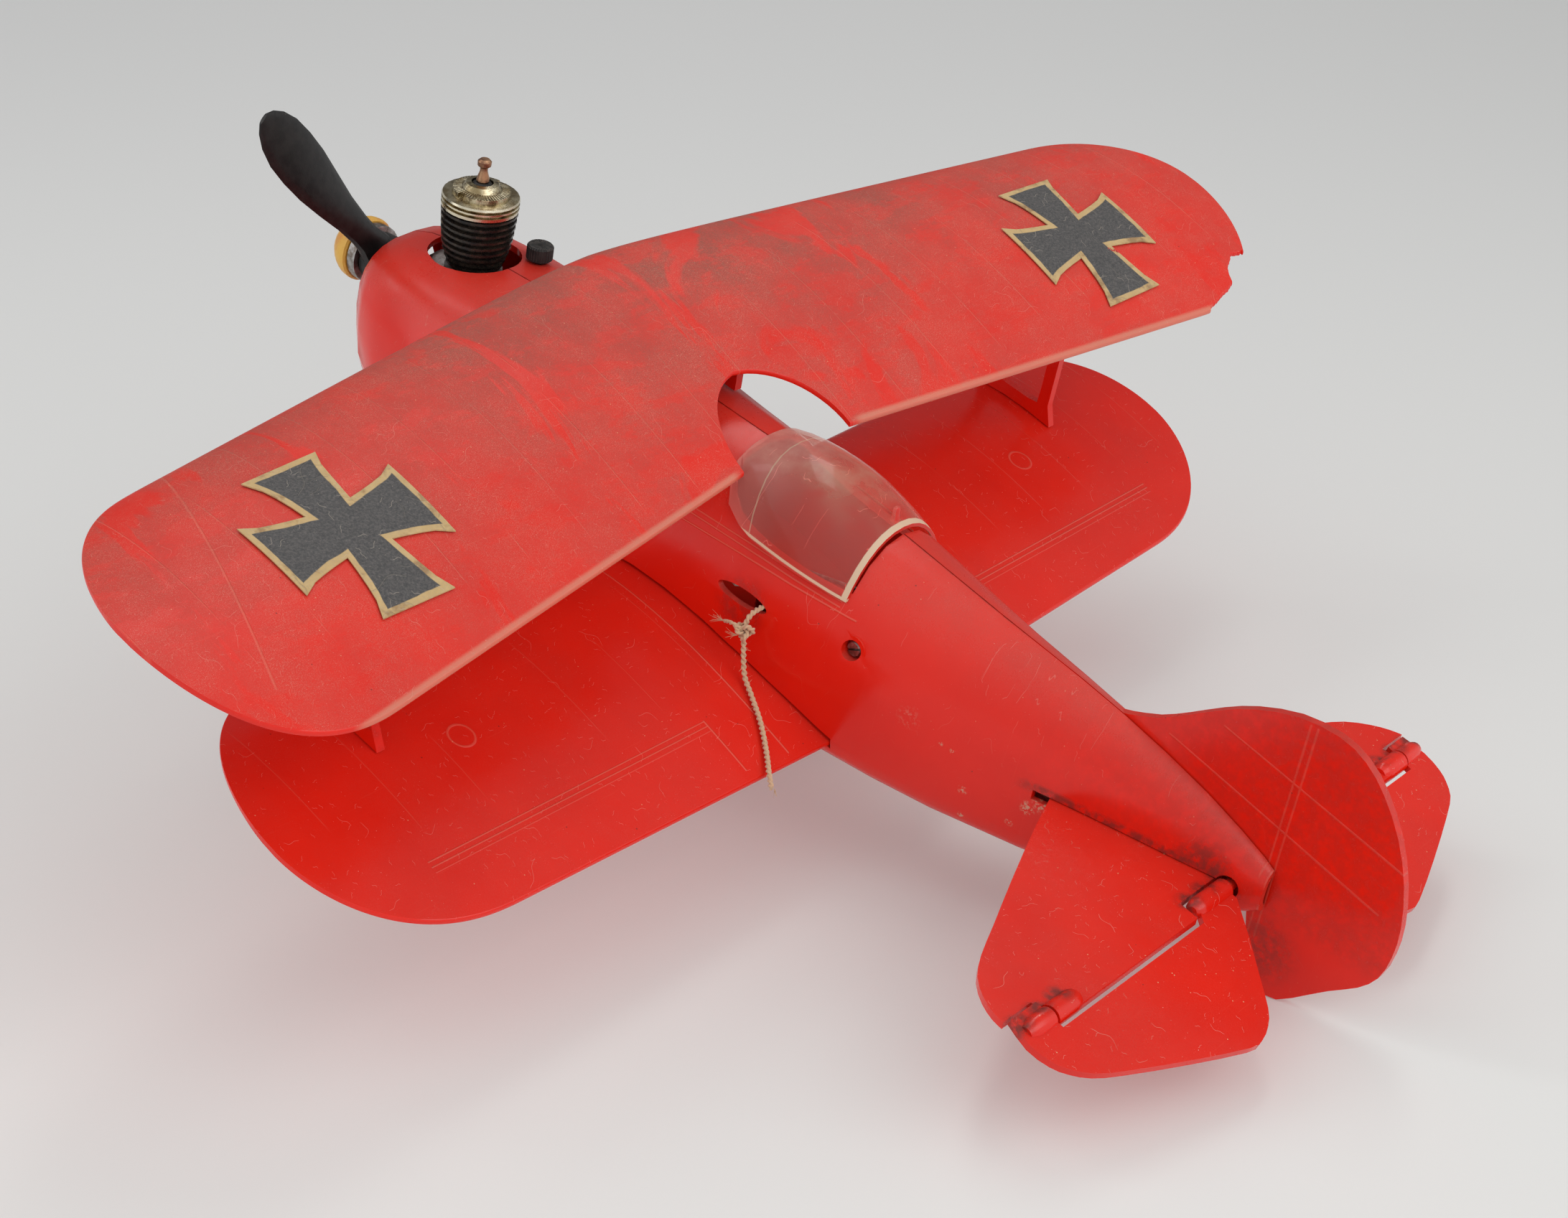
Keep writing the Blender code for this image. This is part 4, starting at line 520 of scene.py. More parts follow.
def fuselage_lines(p):
    """Double line under the cockpit on the port side, and the fin's lines."""
    out = [p.segment(p.y, p.z, (-152.0, 24.0), (-96.0, 20.0), 0.22, 0.08)]
    out += [p.segment(p.y, p.z, (-146.0, 27.0 - d), (-101.0, 22.6 - d), 0.22, 0.08) for d in (0.0, 1.3)]
    side = p.mul(p.peak(*out), p.step(p.x, 8.0, 12.0))
    return p.peak(side, fin_lines(p))


def fuselage_dirt_and_shade(p):
    """Soiling along the seam, and painted shade round the stabilizer root and along its line, by the wing
    slot, under the tail and at its foot.
    """
    tail = p.step(p.y, -70.0, 10.0, 0.0, 0.22)
    root = p.mul(p.near((6.0, -2.0, 0.0), 3.0, 12.0), 0.8)
    slot = p.near((20.0, -125.0, 11.0), 5.0, 9.0)
    foot = p.mul(p.near((0.0, 14.0, -14.0), 2.0, 12.0), 0.6)
    low = p.step(p.z, -8.0, -2.0, 0.0, 1.0)
    seam = p.mul(p.step(p.size(p.x), 0.2, 0.5, 1.0, 0.0), p.step(p.y, -66.0, -56.0, 0.5, 0.0))
    strip = p.mul(p.step(p.size(p.sub(p.z, 0.8)), 0.5, 2.2, 1.0, 0.0), p.step(p.y, -50.0, -42.0))
    strip = p.mul(strip, p.step(p.y, 2.0, 8.0, 1.0, 0.0))
    return p.least(p.peak(p.mul(tail, low), root, p.mul(slot, 0.4), foot, seam, p.mul(strip, 0.8)), 1.0)


def fuselage_scuffs(p):
    """Pale rubbed patches and a white chip low on the port side, ahead of the stabilizer."""
    rubbed = p.step(p.noise(1.1, 4.0, 0.75), 0.50, 0.60)
    spots = [((15.0, -60.0, -7.9), 0.5, 1.5), ((14.3, -59.3, -14.9), 0.4, 1.3),
             ((12.2, -44.1, -4.9), 1.0, 2.3), ((11.7, -41.2, -2.5), 0.8, 2.8),
             ((12.7, -47.6, -10.7), 0.3, 1.4), ((16.2, -67.6, 1.3), 0.2, 0.8),
             ((15.7, -64.5, 0.7), 0.2, 0.9), ((17.7, -76.6, 4.1), 0.4, 4.0)]
    out = [p.near(*spot) for spot in spots]
    out[-1] = p.mul(out[-1], 0.3)
    return p.mul(p.peak(*out), rubbed)


def tail_hinge_shade(p):
    """Painted shade, near black, packed round the hinge barrels, alike on both sides."""
    here = p.join(p.size(p.x), p.y, p.z)
    out = []
    for x in (5.0, 11.0, 17.0, 66.0, 73.0, 80.0):
        gap = p.vec("DISTANCE", here, (x, HINGE_Y - 2.0, HINGE_Z + 1.0)).outputs["Value"]
        out.append(p.step(gap, 1.6, 4.2, 1.0, 0.0))
    return p.mul(p.peak(*out), 0.9)


def plain_grime(p):
    """Light soiling in broad patches."""
    return p.step(p.noise(0.09, 3.0), 0.56, 0.75, 0.0, 0.7)


# ---------------------------------------------------------------- other materials

def speckled(name, colour, second, roughness, metallic, grain, dust, dust_colour=DUST, bump=0.03):
    """A worn surface: mottling of colour and second, grain bump, dust on upward faces."""
    p = Paint(name)
    tone = p.step(p.noise(grain * 0.25, 5.0, 0.65), 0.35, 0.65)
    base = p.mix(tone, colour, second)
    powder = p.mul(p.step(p.noise(grain, 3.0, 0.7), 0.35, 0.7), p.facing_up(0.0, 0.8))
    base = p.mix(p.mul(powder, dust), base, dust_colour)
    tan = p.mul(p.specks(0.9, 0.16, 0.86), p.facing_up(-0.1, 0.5))
    base = p.mix(p.mul(tan, min(0.5, dust * 1.5)), base, (0.66, 0.5, 0.36, 1))
    p.colour(base)
    worn = p.blend(p.noise(grain * 2.0, 3.0), roughness * 0.75, roughness * 1.25)
    p.rough(p.add(worn, p.mul(powder, dust * 0.5), clamp=True))
    p.metal(metallic)
    p.bump(p.mul(p.noise(grain * 3.0, 4.0, 0.6), bump))
    return p


def black_plastic():
    """Dull black moulding."""
    p = speckled("black_plastic", (0.006, 0.006, 0.0065, 1), (0.014, 0.013, 0.013, 1),
                 roughness=0.36, metallic=0.0, grain=1.4, dust=0.10, dust_colour=(0.24, 0.20, 0.17, 1))
    p.bsdf.inputs["Specular IOR Level"].default_value = 0.28
    return p.mat


def gilt_head():
    """Turned glow head: silver worn through the gilt on the rims, stained flats, a ring of knurling."""
    p = speckled("gilt_alloy", (0.62, 0.55, 0.38, 1), (0.30, 0.23, 0.12, 1),
                 roughness=0.27, metallic=1.0, grain=1.2, dust=0.10, bump=0.012)
    rel = p.join(p.x, p.sub(p.y, ENGINE_Y))
    radius = p.vec("LENGTH", rel).outputs["Value"]
    axes = p.split(rel)
    angle = p.calc("ARCTAN2", axes[1], axes[0])
    ring = p.mul(p.step(radius, 5.0, 5.3), p.step(radius, 7.0, 7.3, 1.0, 0.0))
    ribs = p.mul(p.calc("SINE", p.mul(angle, 56.0)), ring)
    turning = p.mul(p.noise(9.0, 1.0, 0.5, p.join(radius, 0.0)), 0.02)
    p.bump(p.add(p.mul(ribs, 0.10), turning))
    stain = p.mul(p.step(p.noise(0.5, 4.0, 0.7), 0.50, 0.64), p.step(radius, 7.0, 9.2, 0.8, 0.25))
    bright = p.step(radius, 9.45, 9.75)
    old = p.bsdf.inputs["Base Color"].links[0].from_socket
    tone = p.mix(stain, old, (0.10, 0.062, 0.030, 1))
    p.colour(p.mix(p.mul(bright, 0.75), tone, (0.80, 0.74, 0.58, 1)))
    return p.mat


def knurled_knob():
    """Dull black knob with fine upright ribs."""
    p = speckled("black_rubber", (0.012, 0.012, 0.012, 1), (0.030, 0.029, 0.027, 1),
                 roughness=0.75, metallic=0.0, grain=1.2, dust=0.22, dust_colour=(0.28, 0.23, 0.20, 1),
                 bump=0.05)
    angle = p.calc("ARCTAN2", p.sub(p.y, NEEDLE_Y), p.sub(p.x, NEEDLE_X))
    p.bump(p.mul(p.calc("SINE", p.mul(angle, 30.0)), 0.12))
    return p.mat


def clear_plastic():
    """Aged clear plastic: hazed and yellowed on top, dusty, with a cream rim and a windscreen arc; its film
    is painted red for the fuselage seen through and mirrored in it, with a painted glare at the front.
    """
    p = Paint("clear_plastic")
    see = p.node("ShaderNodeBsdfTransparent", ((0.97, 0.92, 0.89, 1),))
    shine = p.node("ShaderNodeBsdfGlossy", ((1.0, 1.0, 1.0, 1),))
    shine.inputs["Roughness"].default_value = 0.09
    edge = p.node("ShaderNodeFresnel")
    edge.inputs["IOR"].default_value = 1.36
    outward = p.sub(1.0, p.node("ShaderNodeNewGeometry").outputs["Backfacing"])
    mirror = p.mul(edge.outputs[0], outward)
    clear = p.node("ShaderNodeMixShader", (mirror, see.outputs[0], shine.outputs[0]))
    film = p.bsdf
    arc = p.size(p.add(p.add(p.y, 128.4), p.mul(p.sub(p.z, 29.0), 0.27)))
    arc = p.mul(p.step(arc, 0.10, 0.28, 1.0, 0.0), 0.7)
    end_face = p.step(p.split(p.node("ShaderNodeNewGeometry").outputs["Normal"])[1], 0.75, 0.9)
    rear = p.mul(p.step(p.y, CANOPY_REAR_Y, CANOPY_REAR_Y + 0.3), p.sub(1.0, end_face))
    low = p.sub(p.z, p.add(p.mul(p.y, -0.15), 8.7))
    rim = p.step(p.size(low), 0.22, 0.45, 1.0, 0.0)
    cream = p.peak(arc, rear, rim)
    # lip: the lower edge and the end faces, painted deep red for the red fuselage behind them
    lip = p.peak(p.step(low, -0.4, -0.25, 1.0, 0.0), end_face)
    haze = p.mul(p.step(p.noise(0.10, 4.0, 0.6), 0.25, 0.8), p.facing_up(0.55, 1.0))
    grit = p.peak(p.specks(0.9, 0.09, 0.82), p.threads(0.3, 0.08, 3.0, 0.4, 0.7, (5, 2, 0)))
    front = p.step(p.y, -138.0, -122.0, 0.30, 0.0)
    cover = p.add(p.add(p.mul(haze, 0.24), 0.36), p.add(p.mul(grit, 0.4), p.mul(front, 0.6)))
    # cover: how much of the clear moulding the film hides, on its outward faces only
    cover = p.peak(p.least(p.peak(cover, p.mul(cream, 0.85)), 0.9), p.mul(lip, 0.9))
    cover = p.mul(cover, outward)
    # painted light: the film's red stands for the red fuselage seen through and mirrored in the canopy, and
    # glare is a painted highlight across the windscreen
    haze_and_painted_light = p.mix(p.noise(0.2, 4.0, 0.6), (0.86, 0.075, 0.05, 1), (0.66, 0.12, 0.09, 1))
    haze_and_painted_light = p.mix(haze, haze_and_painted_light, (0.56, 0.30, 0.20, 1))
    glare = p.step(p.y, -132.0, -118.0, 0.6, 0.0)
    haze_and_painted_light = p.mix(glare, haze_and_painted_light, (0.64, 0.26, 0.22, 1))
    haze_and_painted_light = p.mix(lip, haze_and_painted_light, (0.62, 0.02, 0.01, 1))
    p.colour(p.mix(cream, haze_and_painted_light, (0.72, 0.53, 0.36, 1)))
    p.rough(0.42)
    blend = p.node("ShaderNodeMixShader", (cover, clear.outputs[0], film.outputs[0]))
    p.tree.links.new(blend.outputs[0], p.out.inputs[0])
    return p.mat


ARM_REACH = 21.3
ARM_LENGTH = 15.0
ARM_HALF_WIDTH = 10.4
ARM_FLARE = 4.1


def sticker(name, cx, cy, degrees, torn):
    """Aged paper sticker: black cross with flared arms, tan border, creases, dust and stained corners."""
    p = Paint(name)
    a = math.radians(degrees)
    dx, dy = p.sub(p.x, cx), p.sub(p.y, cy)
    u = p.size(p.add(p.mul(dx, math.cos(a)), p.mul(dy, math.sin(a))))
    v = p.size(p.sub(p.mul(dy, math.cos(a)), p.mul(dx, math.sin(a))))
    wobble = p.mul(p.sub(p.noise(0.16, 2.0), 0.5), 0.9)
    along, across = p.peak(u, v), p.least(u, v)
    t = p.calc("DIVIDE", p.sub(ARM_REACH, along), ARM_LENGTH)
    half = p.sub(ARM_HALF_WIDTH, p.mul(p.calc("POWER", p.peak(t, 0.001), 0.55), ARM_FLARE))
    gap = p.add(p.least(p.sub(ARM_REACH, along), p.mul(p.sub(half, across), 0.97)), wobble)
    black = p.step(gap, 1.35, 1.6)
    paper = p.mix(p.noise(0.3, 4.0, 0.6), (0.44, 0.28, 0.10, 1), (0.66, 0.47, 0.22, 1))
    stain = p.step(p.noise(0.12, 4.0, 0.7), 0.50, 0.66)
    paper = p.mix(p.mul(stain, 0.65), paper, (0.20, 0.09, 0.03, 1))
    ink = p.mix(p.noise(0.5, 5.0, 0.7), (0.030, 0.030, 0.031, 1), (0.070, 0.068, 0.067, 1))
    base = p.mix(black, paper, ink)
    crease = p.peak(p.threads(0.07, 0.25, 14.0, 0.02, 0.35, (2, 9, 0)),
                    p.threads(0.12, 0.2, 7.0, 0.1, 0.6, (22, 3, 0)))
    base = p.mix(p.mul(crease, 0.16), base, (0.30, 0.27, 0.22, 1))
    grit = p.peak(p.specks(0.8, 0.10, 0.75), p.threads(0.3, 0.09, 2.6, 0.4, 0.7, (15, 12, 0)))
    base = p.mix(p.mul(grit, 0.4), base, (0.55, 0.47, 0.38, 1))
    base = p.mix(p.mul(p.step(p.noise(1.8, 4.0, 0.75), 0.35, 0.75), 0.30), base, (0.30, 0.26, 0.24, 1))
    if torn:
        scar = p.segment(p.x, p.y, (-141.0, -133.5), (-134.5, -139.5), 0.5, 0.25)
        scar = p.mul(scar, p.step(p.noise(1.2, 2.0), 0.42, 0.5))
        base = p.mix(scar, base, (0.45, 0.02, 0.015, 1))
    p.colour(base)
    p.rough(p.blend(p.noise(0.8, 3.0), 0.50, 0.72))
    p.bump(p.add(p.mul(p.noise(0.35, 4.0, 0.6), 0.22), p.mul(crease, 0.12)))
    return p.mat


def twine_paint():
    """Dry tan fibre, streaked along the twine."""
    p = Paint("twine_fibre")
    fibre = p.noise(3.0, 4.0, 0.7, p.scaled(p.p, (1.0, 1.0, 0.25)))
    p.colour(p.mix(fibre, (0.42, 0.24, 0.12, 1), (0.78, 0.56, 0.36, 1)))
    p.rough(0.9)
    p.bsdf.inputs["Sheen Weight"].default_value = 0.4
    p.bump(p.mul(fibre, 0.12))
    return p.mat


# ---------------------------------------------------------------- geometry helpers

def add_mesh(name, verts, faces, material, body, smooth_angle):
    """A smooth-shaded piece that rides on a body, sharp where faces meet above smooth_angle degrees."""
    mesh = bpy.data.meshes.new(name)
    mesh.from_pydata([tuple(v) for v in verts], [], faces)
    mesh.update()
    mesh.shade_smooth()
    mesh.set_sharp_from_angle(angle=math.radians(smooth_angle))
    mesh.materials.append(material)
    obj = bpy.data.objects.new(name, mesh)
    bpy.context.scene.collection.objects.link(obj)
    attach(obj, body)
    return obj


WELD = 3e-6
FLAT_ANGLE = math.radians(0.25)
SHARP_ANGLE = 34.0


def skin(node, material, bevel):
    """A welded, smooth-shaded copy of a CAD node, with its sharp edges eased by bevel millimetres."""
    bm = bmesh.new()
    bm.from_mesh(NODES[node].data)
    bmesh.ops.remove_doubles(bm, verts=bm.verts, dist=WELD)
    bmesh.ops.dissolve_limit(bm, angle_limit=FLAT_ANGLE, verts=bm.verts, edges=bm.edges)
    verts = [v.co.copy() for v in bm.verts]
    bm.verts.index_update()
    faces = [[v.index for v in f.verts] for f in bm.faces]
    bm.free()
    obj = add_mesh("skin_" + node, verts, faces, material, BODY_OF[node], SHARP_ANGLE)
    if bevel:
        mod = obj.modifiers.new("eased", "BEVEL")
        mod.width = bevel * MM
        mod.segments = 2
        mod.limit_method = "ANGLE"
        mod.angle_limit = math.radians(SHARP_ANGLE)
        mod.harden_normals = True
        mod.use_clamp_overlap = True
    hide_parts(node)
    return obj


def tube_faces(rings, around, start=0):
    """Quads of a tube of rings, each with the same number of points around."""
    faces = []
    for i in range(rings - 1):
        for j in range(around):
            k = (j + 1) % around
            a, b = start + i * around, start + (i + 1) * around
            faces.append([a + j, a + k, b + k, b + j])
    return faces


def even_points(route, spacing):
    """Points at an even spacing on a Catmull-Rom curve through the route."""
    pts = [Vector(q) for q in route]
    pts = [pts[0] * 2.0 - pts[1]] + pts + [pts[-1] * 2.0 - pts[-2]]
    dense = []
    for p0, p1, p2, p3 in zip(pts, pts[1:], pts[2:], pts[3:]):
        for k in range(24):
            t = k / 24.0
            dense.append(0.5 * (2.0 * p1 + (p2 - p0) * t + (2.0 * p0 - 5.0 * p1 + 4.0 * p2 - p3) * t * t
                                + (3.0 * p1 - p0 - 3.0 * p2 + p3) * t ** 3))
    dense.append(pts[-2])
    run = [0.0]
    for a, b in zip(dense[:-1], dense[1:]):
        run.append(run[-1] + (b - a).length)
    count = max(int(run[-1] / spacing), 3)
    out = []
    i = 1
    for k in range(count + 1):
        target = run[-1] * k / count
        while i < len(run) - 1 and run[i] < target:
            i += 1
        out.append(dense[i - 1].lerp(dense[i], (target - run[i - 1]) / max(run[i] - run[i - 1], 1e-9)))
    return out


def strand(points, radius, start, lay=2.8, sides=16, thin=None):
    """Vertices and faces of a strand along points in millimetres, its faces counted from start.

    It is two plies twisted together once every lay millimetres, or one plain fibre where lay is None.
    thin gives the thickness from 0 to 1 along it.
    """
    offset, ply = 0.46 * radius, 0.54 * radius
    if lay is None:
        offset, ply, lay = 0.0, radius, 1.0
    verts = []
    up = Vector((0.3, 0.2, 0.93))
    run = 0.0
    last = len(points) - 1
    for i, q in enumerate(points):
        d = (points[min(i + 1, last)] - points[max(i - 1, 0)]).normalized()
        side = d.cross(up).normalized()
        up = side.cross(d)
        if i:
            run += (q - points[i - 1]).length
        scale = 1.0 if thin is None else thin(i / last)
        for k in range(sides):
            a = 2.0 * math.pi * k / sides
            b = a - 2.0 * math.pi * run / lay
            reach = offset * abs(math.cos(b)) + math.sqrt(max(ply ** 2 - (offset * math.sin(b)) ** 2, 0.0))
            verts.append(place(*(q + (side * math.cos(a) + up * math.sin(a)) * reach * scale)))
    faces = tube_faces(len(points), sides, start)
    end = start + last * sides
    faces.append([start + k for k in reversed(range(sides))])
    faces.append([end + k for k in range(sides)])
    return verts, faces


TWINE_R = 0.7
TWINE_STEP = 0.25
KNOT = Vector((27.4, -119.0, 8.6))
KNOT_AXIS = Vector((0.10, 0.10, -1.0)).normalized()


def twine_route():
    """The CAD twine's route: bellcrank arm, slot, knot, over the wing and off its rear edge."""
    route = [(21.0, -119.3, 13.2), (23.0, -119.3, 13.1), (25.4, -119.3, 12.8)]
    route += [tuple(KNOT + KNOT_AXIS * t) for t in (-2.9, -1.0, 1.0, 2.9)]
    route.append((29.0, -116.0, lower_z(29.0, -116.0) + 2.4))
    for x, y in ((31.0, -111.6), (34.6, -105.2), (39.0, -99.2), (43.4, -94.2)):
        route.append((x, y, lower_z(x, y) + 1.25))
    route.append((46.4, -90.6, -11.4))
    return route


def overhand_loop():
    """The closed crossing of an overhand knot, drawn as a trefoil round the twine."""
    face = Vector((0.80, 0.25, 0.35)).normalized()
    u = face.cross(KNOT_AXIS).normalized()
    v = face.cross(u)
    out = []
    for k in range(121):
        t = 2.0 * math.pi * k / 120
        out.append(KNOT + Vector((0.5, 0.0, 0.2)) + u * 0.70 * (math.sin(t) + 2.0 * math.sin(2.0 * t))
                   + v * 0.62 * (math.cos(t) - 2.0 * math.cos(2.0 * t)) - face * 0.95 * math.sin(3.0 * t))
    return out


def fray(origin, direction, count, length, spread, rng):
    """Loose fibres fanning out of a cut end."""
    out = []
    for _ in range(count):
        stray = Vector([rng.uniform(-spread, spread) for _ in range(3)])
        aim = (Vector(direction).normalized() + stray).normalized()
        bend = Vector([rng.uniform(-0.3, 0.3) for _ in range(3)])
        reach = length * rng.uniform(0.5, 1.0)
        steps = (0.0, 0.25, 0.5, 0.75, 1.0)
        out.append([Vector(origin) + aim * reach * t + bend * reach * t * t for t in steps])
    return out


def make_twine(material):
    """The two-ply twine on the CAD route, its knot with a short tail, and the loose fibres."""
    points = even_points(twine_route(), TWINE_STEP)
    verts, faces = strand(points, TWINE_R, 0)
    rope = add_mesh("twine_rope", verts, faces, material, "airframe", 60.0)
    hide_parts("twine")
    verts, faces = strand(overhand_loop(), 0.66, 0)
    end = [(28.6, -119.6, 9.4), (29.2, -121.4, 10.0), (28.7, -123.4, 9.4), (27.9, -125.2, 8.3)]
    more, extra = strand(even_points(end, TWINE_STEP), 0.62, len(verts), thin=lambda t: 1.0 - 0.25 * t)
    verts, faces = verts + more, faces + extra
    loops = add_mesh("twine_knot_loops", verts, faces, material, "airframe", 60.0)
    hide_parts("twine_knot")
    rng = random.Random(5)
    fibres = fray(end[-1], (-0.10, -1.0, -0.22), 12, 4.6, 0.28, rng)
    fibres += fray((28.9, -120.0, 7.6), (0.35, -0.9, -0.35), 7, 3.6, 0.3, rng)
    fibres += fray(points[-1] - Vector((0.5, -0.5, 0.0)), points[-1] - points[-5], 9, 2.6, 0.35, rng)
    for _ in range(34):
        q = points[rng.randrange(20, len(points) - 2)]
        fibres += fray(q, [rng.uniform(-1.0, 1.0) for _ in range(3)], 1, 1.7, 0.3, rng)
    verts, faces = [], []
    for line in fibres:
        more, extra = strand(line, rng.uniform(0.045, 0.10), len(verts), None, 5, lambda t: 1.0 - 0.7 * t)
        verts, faces = verts + more, faces + extra
    loose = add_mesh("twine_fray", verts, faces, material, "airframe", 60.0)


def canopy_nub(material):
    """Small clear upright stub on the canopy's rear crest, with a rounded top."""
    verts = []
    rings = ((1.5, 1.1, -0.8), (1.5, 1.1, 0.3), (1.2, 0.85, 0.8), (1.15, 0.8, 2.4), (0.8, 0.5, 3.0),
             (0.3, 0.2, 3.2))
    sides, centre_y, base_z = 20, -102.6, 38.2
    for half, depth, z in rings:
        for k in range(sides):
            a = 2.0 * math.pi * k / sides
            verts.append(place(half * math.cos(a), centre_y + depth * math.sin(a), base_z + z))
    faces = tube_faces(len(rings), sides)
    faces.append(list(range(sides))[::-1])
    faces.append([len(verts) - sides + k for k in range(sides)])
    nub = add_mesh("canopy_nub", verts, faces, material, "airframe", 50.0)


# ---------------------------------------------------------------- wings

def tip_factor(x, tip_x, tip_len):
    """Share of the full chord that the rounded tip leaves at x."""
    a = (abs(x) - (tip_x - tip_len)) / tip_len
    if a <= 0.0:
        return 1.0
    return max(1.0 - min(a, 1.0) ** 2.35, 0.0) ** (1.0 / 1.95)


def upper_edges(x):
    """Leading and trailing edge of the upper wing at x, before its tips are rounded."""
    return UPPER_LE + 0.134 * (math.hypot(x, 20.0) - 8.0), UPPER_TE + UPPER_TE_SWEEP * abs(x)


def upper_z(x, y):
    """Height of the upper wing's top: a cambered section with a drooped nose, a little lower to port."""
    le, te = upper_edges(x)
    u = min(max((y - le) / (te - le), 0.0), 1.0)
    front, back = 62.6 - 0.0215 * abs(x), 42.3 + 0.0068 * abs(x)
    camber = 5.9 * 4.0 * u * (1.0 - u) * (1.25 - 0.5 * u)
    return front + (back - front) * u + camber - 1.6 * math.exp(-u / 0.03) - 0.016 * x


def lower_edges(x):
    """Leading and trailing edge of the lower wing at x, before its tips are rounded."""
    return LOWER_LE, LOWER_TE - 0.022 * max(abs(x) - 20.0, 0.0)


def lower_z(x, y):
    """Height of the lower wing's top: a cambered section with a drooped nose and slight dihedral."""
    le, te = lower_edges(x)
    u = min(max((y - le) / (te - le), 0.0), 1.0)
    camber = 4.5 * 4.0 * u * (1.0 - u) * (1.25 - 0.5 * u)
    return 5.6 - 17.6 * u + camber - 1.6 * math.exp(-u / 0.03) + 0.025 * max(abs(x) - 20.0, 0.0)


# Outline of the break in the starboard upper tip, and the stretch of span that is divided finely for it
BREAK_FROM, BREAK_TO, BREAK_STEP = -178.6, -146.4, 0.23
BREAK = ((-177.6, -112.0), (-176.4, -122.8), (-175.2, -122.6), (-171.6, -123.6), (-170.2, -122.4),
         (-166.8, -120.8), (-165.0, -119.0), (-163.6, -116.6), (-160.5, -115.7), (-157.4, -115.3),
         (-153.0, -114.4), (-149.5, -114.0), (-146.5, -110.0))


def broken_edge(x):
    """How far back the starboard tip reaches at x, where its trailing edge is broken away."""
    for (x0, y0), (x1, y1) in zip(BREAK[:-1], BREAK[1:]):
        if x0 <= x < x1:
            return y0 + (y1 - y0) * (x - x0) / (x1 - x0) + 0.13 * math.sin(x * 6.1) * math.sin(x * 2.3)
    return 0.0


CUT_STEPS, SPAN_STEPS, TIP_STEPS, CHORD_STEPS = 14, 70, 44, 36
WING_SKIN = 1.3
RIM = 0.14


def wing(node, edges, surface, material, tip_x, tip_len, tip_y, cutout=0.0, broken=False):
    """A finely divided wing on the CAD wing's own lines, with rounded rims.

    tip_len is how far in from tip_x the rounded tips start, and tip_y the share of the chord they meet at.
    """
    root = tip_x - tip_len
    half = [0.0]
    if cutout:
        half = [cutout * math.sin(0.5 * math.pi * k / CUT_STEPS) for k in range(CUT_STEPS + 1)]
    start = half[-1]
    half += [start + (root - start) * k / SPAN_STEPS for k in range(1, SPAN_STEPS + 1)]
    for k in range(1, TIP_STEPS + 1):
        half.append(root + (tip_len - 0.06) * math.sin(0.5 * math.pi * k / TIP_STEPS))
    xs = [-x for x in reversed(half[1:])] + half
    if broken:
        fine = [BREAK_FROM + BREAK_STEP * k for k in range(141)]
        xs = sorted([x for x in xs if not BREAK_FROM < x < BREAK_TO] + fine)
    fractions = [0.5 - 0.5 * math.cos(math.pi * k / CHORD_STEPS) for k in range(CHORD_STEPS + 1)]
    verts = []
    for x in xs:
        le, te = edges(x)
        f = tip_factor(x, tip_x, tip_len)
        mid = le + (te - le) * tip_y
        y0, y1 = mid + (le - mid) * f, mid + (te - mid) * f
        if cutout and abs(x) < cutout:
            y1 -= math.sqrt(max(cutout ** 2 - x * x, 0.0))
        if broken:
            y1 = max(min(y1, broken_edge(x)), y0 + 1.0)
        ring = []
        for t in fractions:
            y = y0 + (y1 - y0) * t
            ring.append((x, y, surface(x, y)))
        back = surface(x, y1)
        ring += [(x, y1 + RIM, back - 0.35), (x, y1 + RIM, back - 0.95)]
        for t in reversed(fractions):
            y = y0 + (y1 - y0) * t
            if t < 0.03:
                y += 0.5 * (1.0 - t / 0.03)
            ring.append((x, y, surface(x, y) - WING_SKIN))
        front = surface(x, y0)
        ring += [(x, y0 + 0.02, front - 0.9), (x, y0 - RIM, front - 0.4)]
        verts.extend(place(*q) for q in ring)
    cols = len(fractions) * 2 + 4
    faces = tube_faces(len(xs), cols)
    n = len(xs) * cols
    faces.append(list(range(cols))[::-1])
    faces.append(list(range(n - cols, n)))
    obj = add_mesh("panel_" + node, verts, faces, material, BODY_OF[node], 50.0)
    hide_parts(node)
    return obj


# ---------------------------------------------------------------- build

make_camera()
make_studio()
make_floor()

upper_red = red_plastic("upper_wing_red", dust=0.92, lint=1.0, lines=upper_wing_lines, pale=upper_trailing_highlight,
                        film=upper_film, scratches=0.9)
lower_red = red_plastic("lower_wing_red", dust=0.12, lint=0.9, lines=lower_wing_lines)
body_red = red_plastic("fuselage_red", dust=0.30, lint=0.7, lines=fuselage_lines, grime_and_shade=fuselage_dirt_and_shade,
                       pale=fuselage_scuffs, scratches=0.25)
tail_red = red_plastic("tail_red", dust=0.14, lint=1.5, grime_and_shade=tail_hinge_shade)
strut_red = red_plastic("strut_red", dust=0.25, lint=0.6, grime_and_shade=plain_grime)

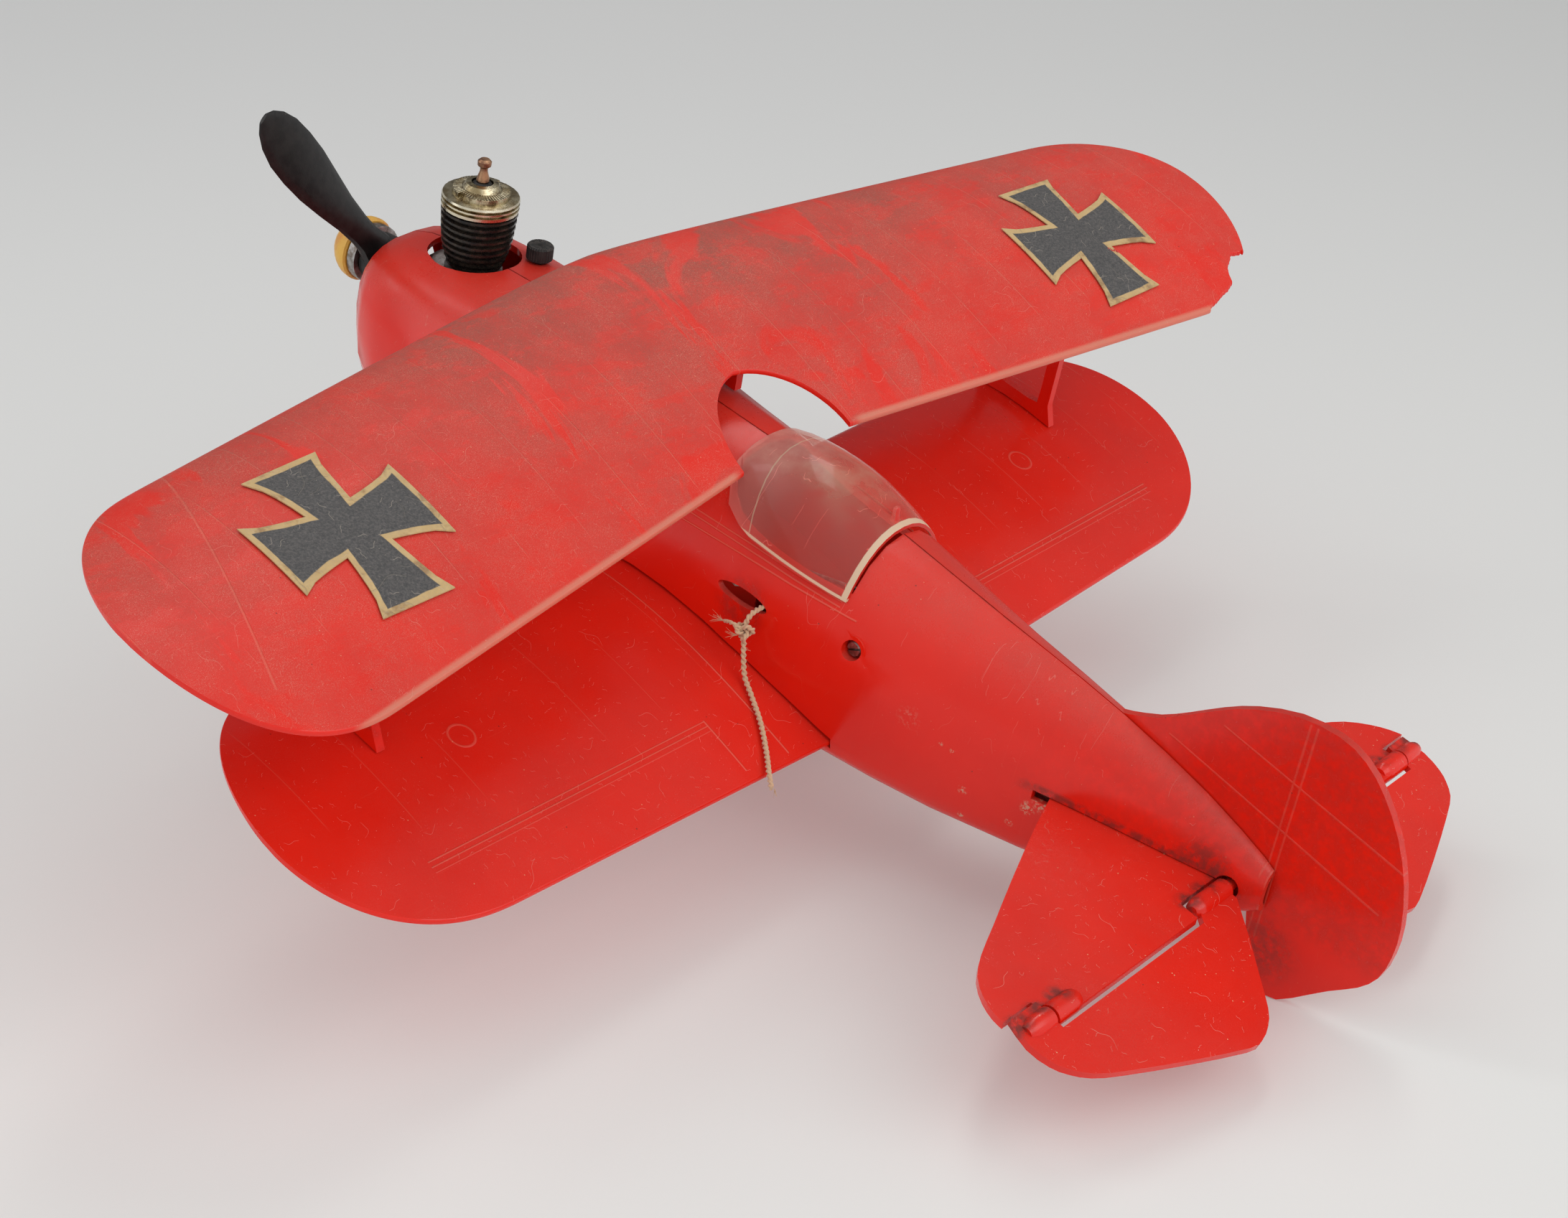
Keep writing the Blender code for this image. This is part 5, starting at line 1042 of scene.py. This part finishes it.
MATERIALS = {
    "black_plastic": black_plastic(),
    "yellow_plastic": speckled("yellow_plastic", (0.74, 0.42, 0.06, 1), (0.62, 0.22, 0.025, 1),
                               roughness=0.42, metallic=0.0, grain=0.7, dust=0.15,
                               dust_colour=(0.55, 0.42, 0.25, 1)).mat,
    "steel": speckled("steel", (0.42, 0.41, 0.40, 1), (0.16, 0.13, 0.11, 1),
                      roughness=0.34, metallic=1.0, grain=1.5, dust=0.15).mat,
    "cast_alloy": speckled("cast_alloy", (0.50, 0.49, 0.48, 1), (0.28, 0.26, 0.24, 1),
                           roughness=0.5, metallic=1.0, grain=2.2, dust=0.15).mat,
    "blackened_steel": speckled("blackened_steel", (0.012, 0.011, 0.011, 1), (0.045, 0.035, 0.026, 1),
                                roughness=0.26, metallic=0.5, grain=1.8, dust=0.10).mat,
    "gilt_alloy": gilt_head(),
    "copper": speckled("copper", (0.52, 0.30, 0.17, 1), (0.22, 0.11, 0.07, 1),
                       roughness=0.38, metallic=1.0, grain=1.6, dust=0.15).mat,
    "black_rubber": knurled_knob(),
    "white_nylon": speckled("white_nylon", (0.66, 0.63, 0.56, 1), (0.50, 0.46, 0.38, 1),
                            roughness=0.48, metallic=0.0, grain=0.8, dust=0.2).mat,
    "clear_plastic": clear_plastic(),
    "twine_fibre": twine_paint(),
}
SLOT_OF = {n: o.data.materials[0].name.split(".")[0] for n, o in NODES.items()}

upper = wing("upper_wing", upper_edges, upper_z, upper_red, tip_x=186.2, tip_len=41.0, tip_y=0.453,
             cutout=19.5, broken=True)
lower = wing("lower_wing", lower_edges, lower_z, lower_red, tip_x=162.0, tip_len=41.5, tip_y=0.556)
# Which red each red node takes (the rest take strut_red), and how far its edges are eased, in millimetres
REDS = {"fuselage_port": body_red, "fuselage_starboard": body_red, "stabilizer": tail_red,
        "elevator": tail_red}
EASED = {"fuselage_port": 0.25, "fuselage_starboard": 0.25, "stabilizer": 0.35, "elevator": 0.35,
         "canopy": 0.1}
DONE = ("upper_wing", "lower_wing", "twine", "twine_knot")
STICKERS = {
    "insignia_port": sticker("sticker_port", 125.6, -152.0, 1.9, False),
    "insignia_starboard": sticker("sticker_starboard", -130.0, -146.8, -3.5, True),
}
make_twine(MATERIALS["twine_fibre"])
canopy_nub(MATERIALS["clear_plastic"])
for node in sorted(NODES):
    if node in DONE:
        continue
    slot = SLOT_OF[node]
    if slot == "red_plastic":
        material = REDS.get(node, strut_red)
    elif slot == "printed_paper":
        material = STICKERS[node]
    else:
        material = MATERIALS[slot]
    piece = skin(node, material, EASED.get(node, 0.0))
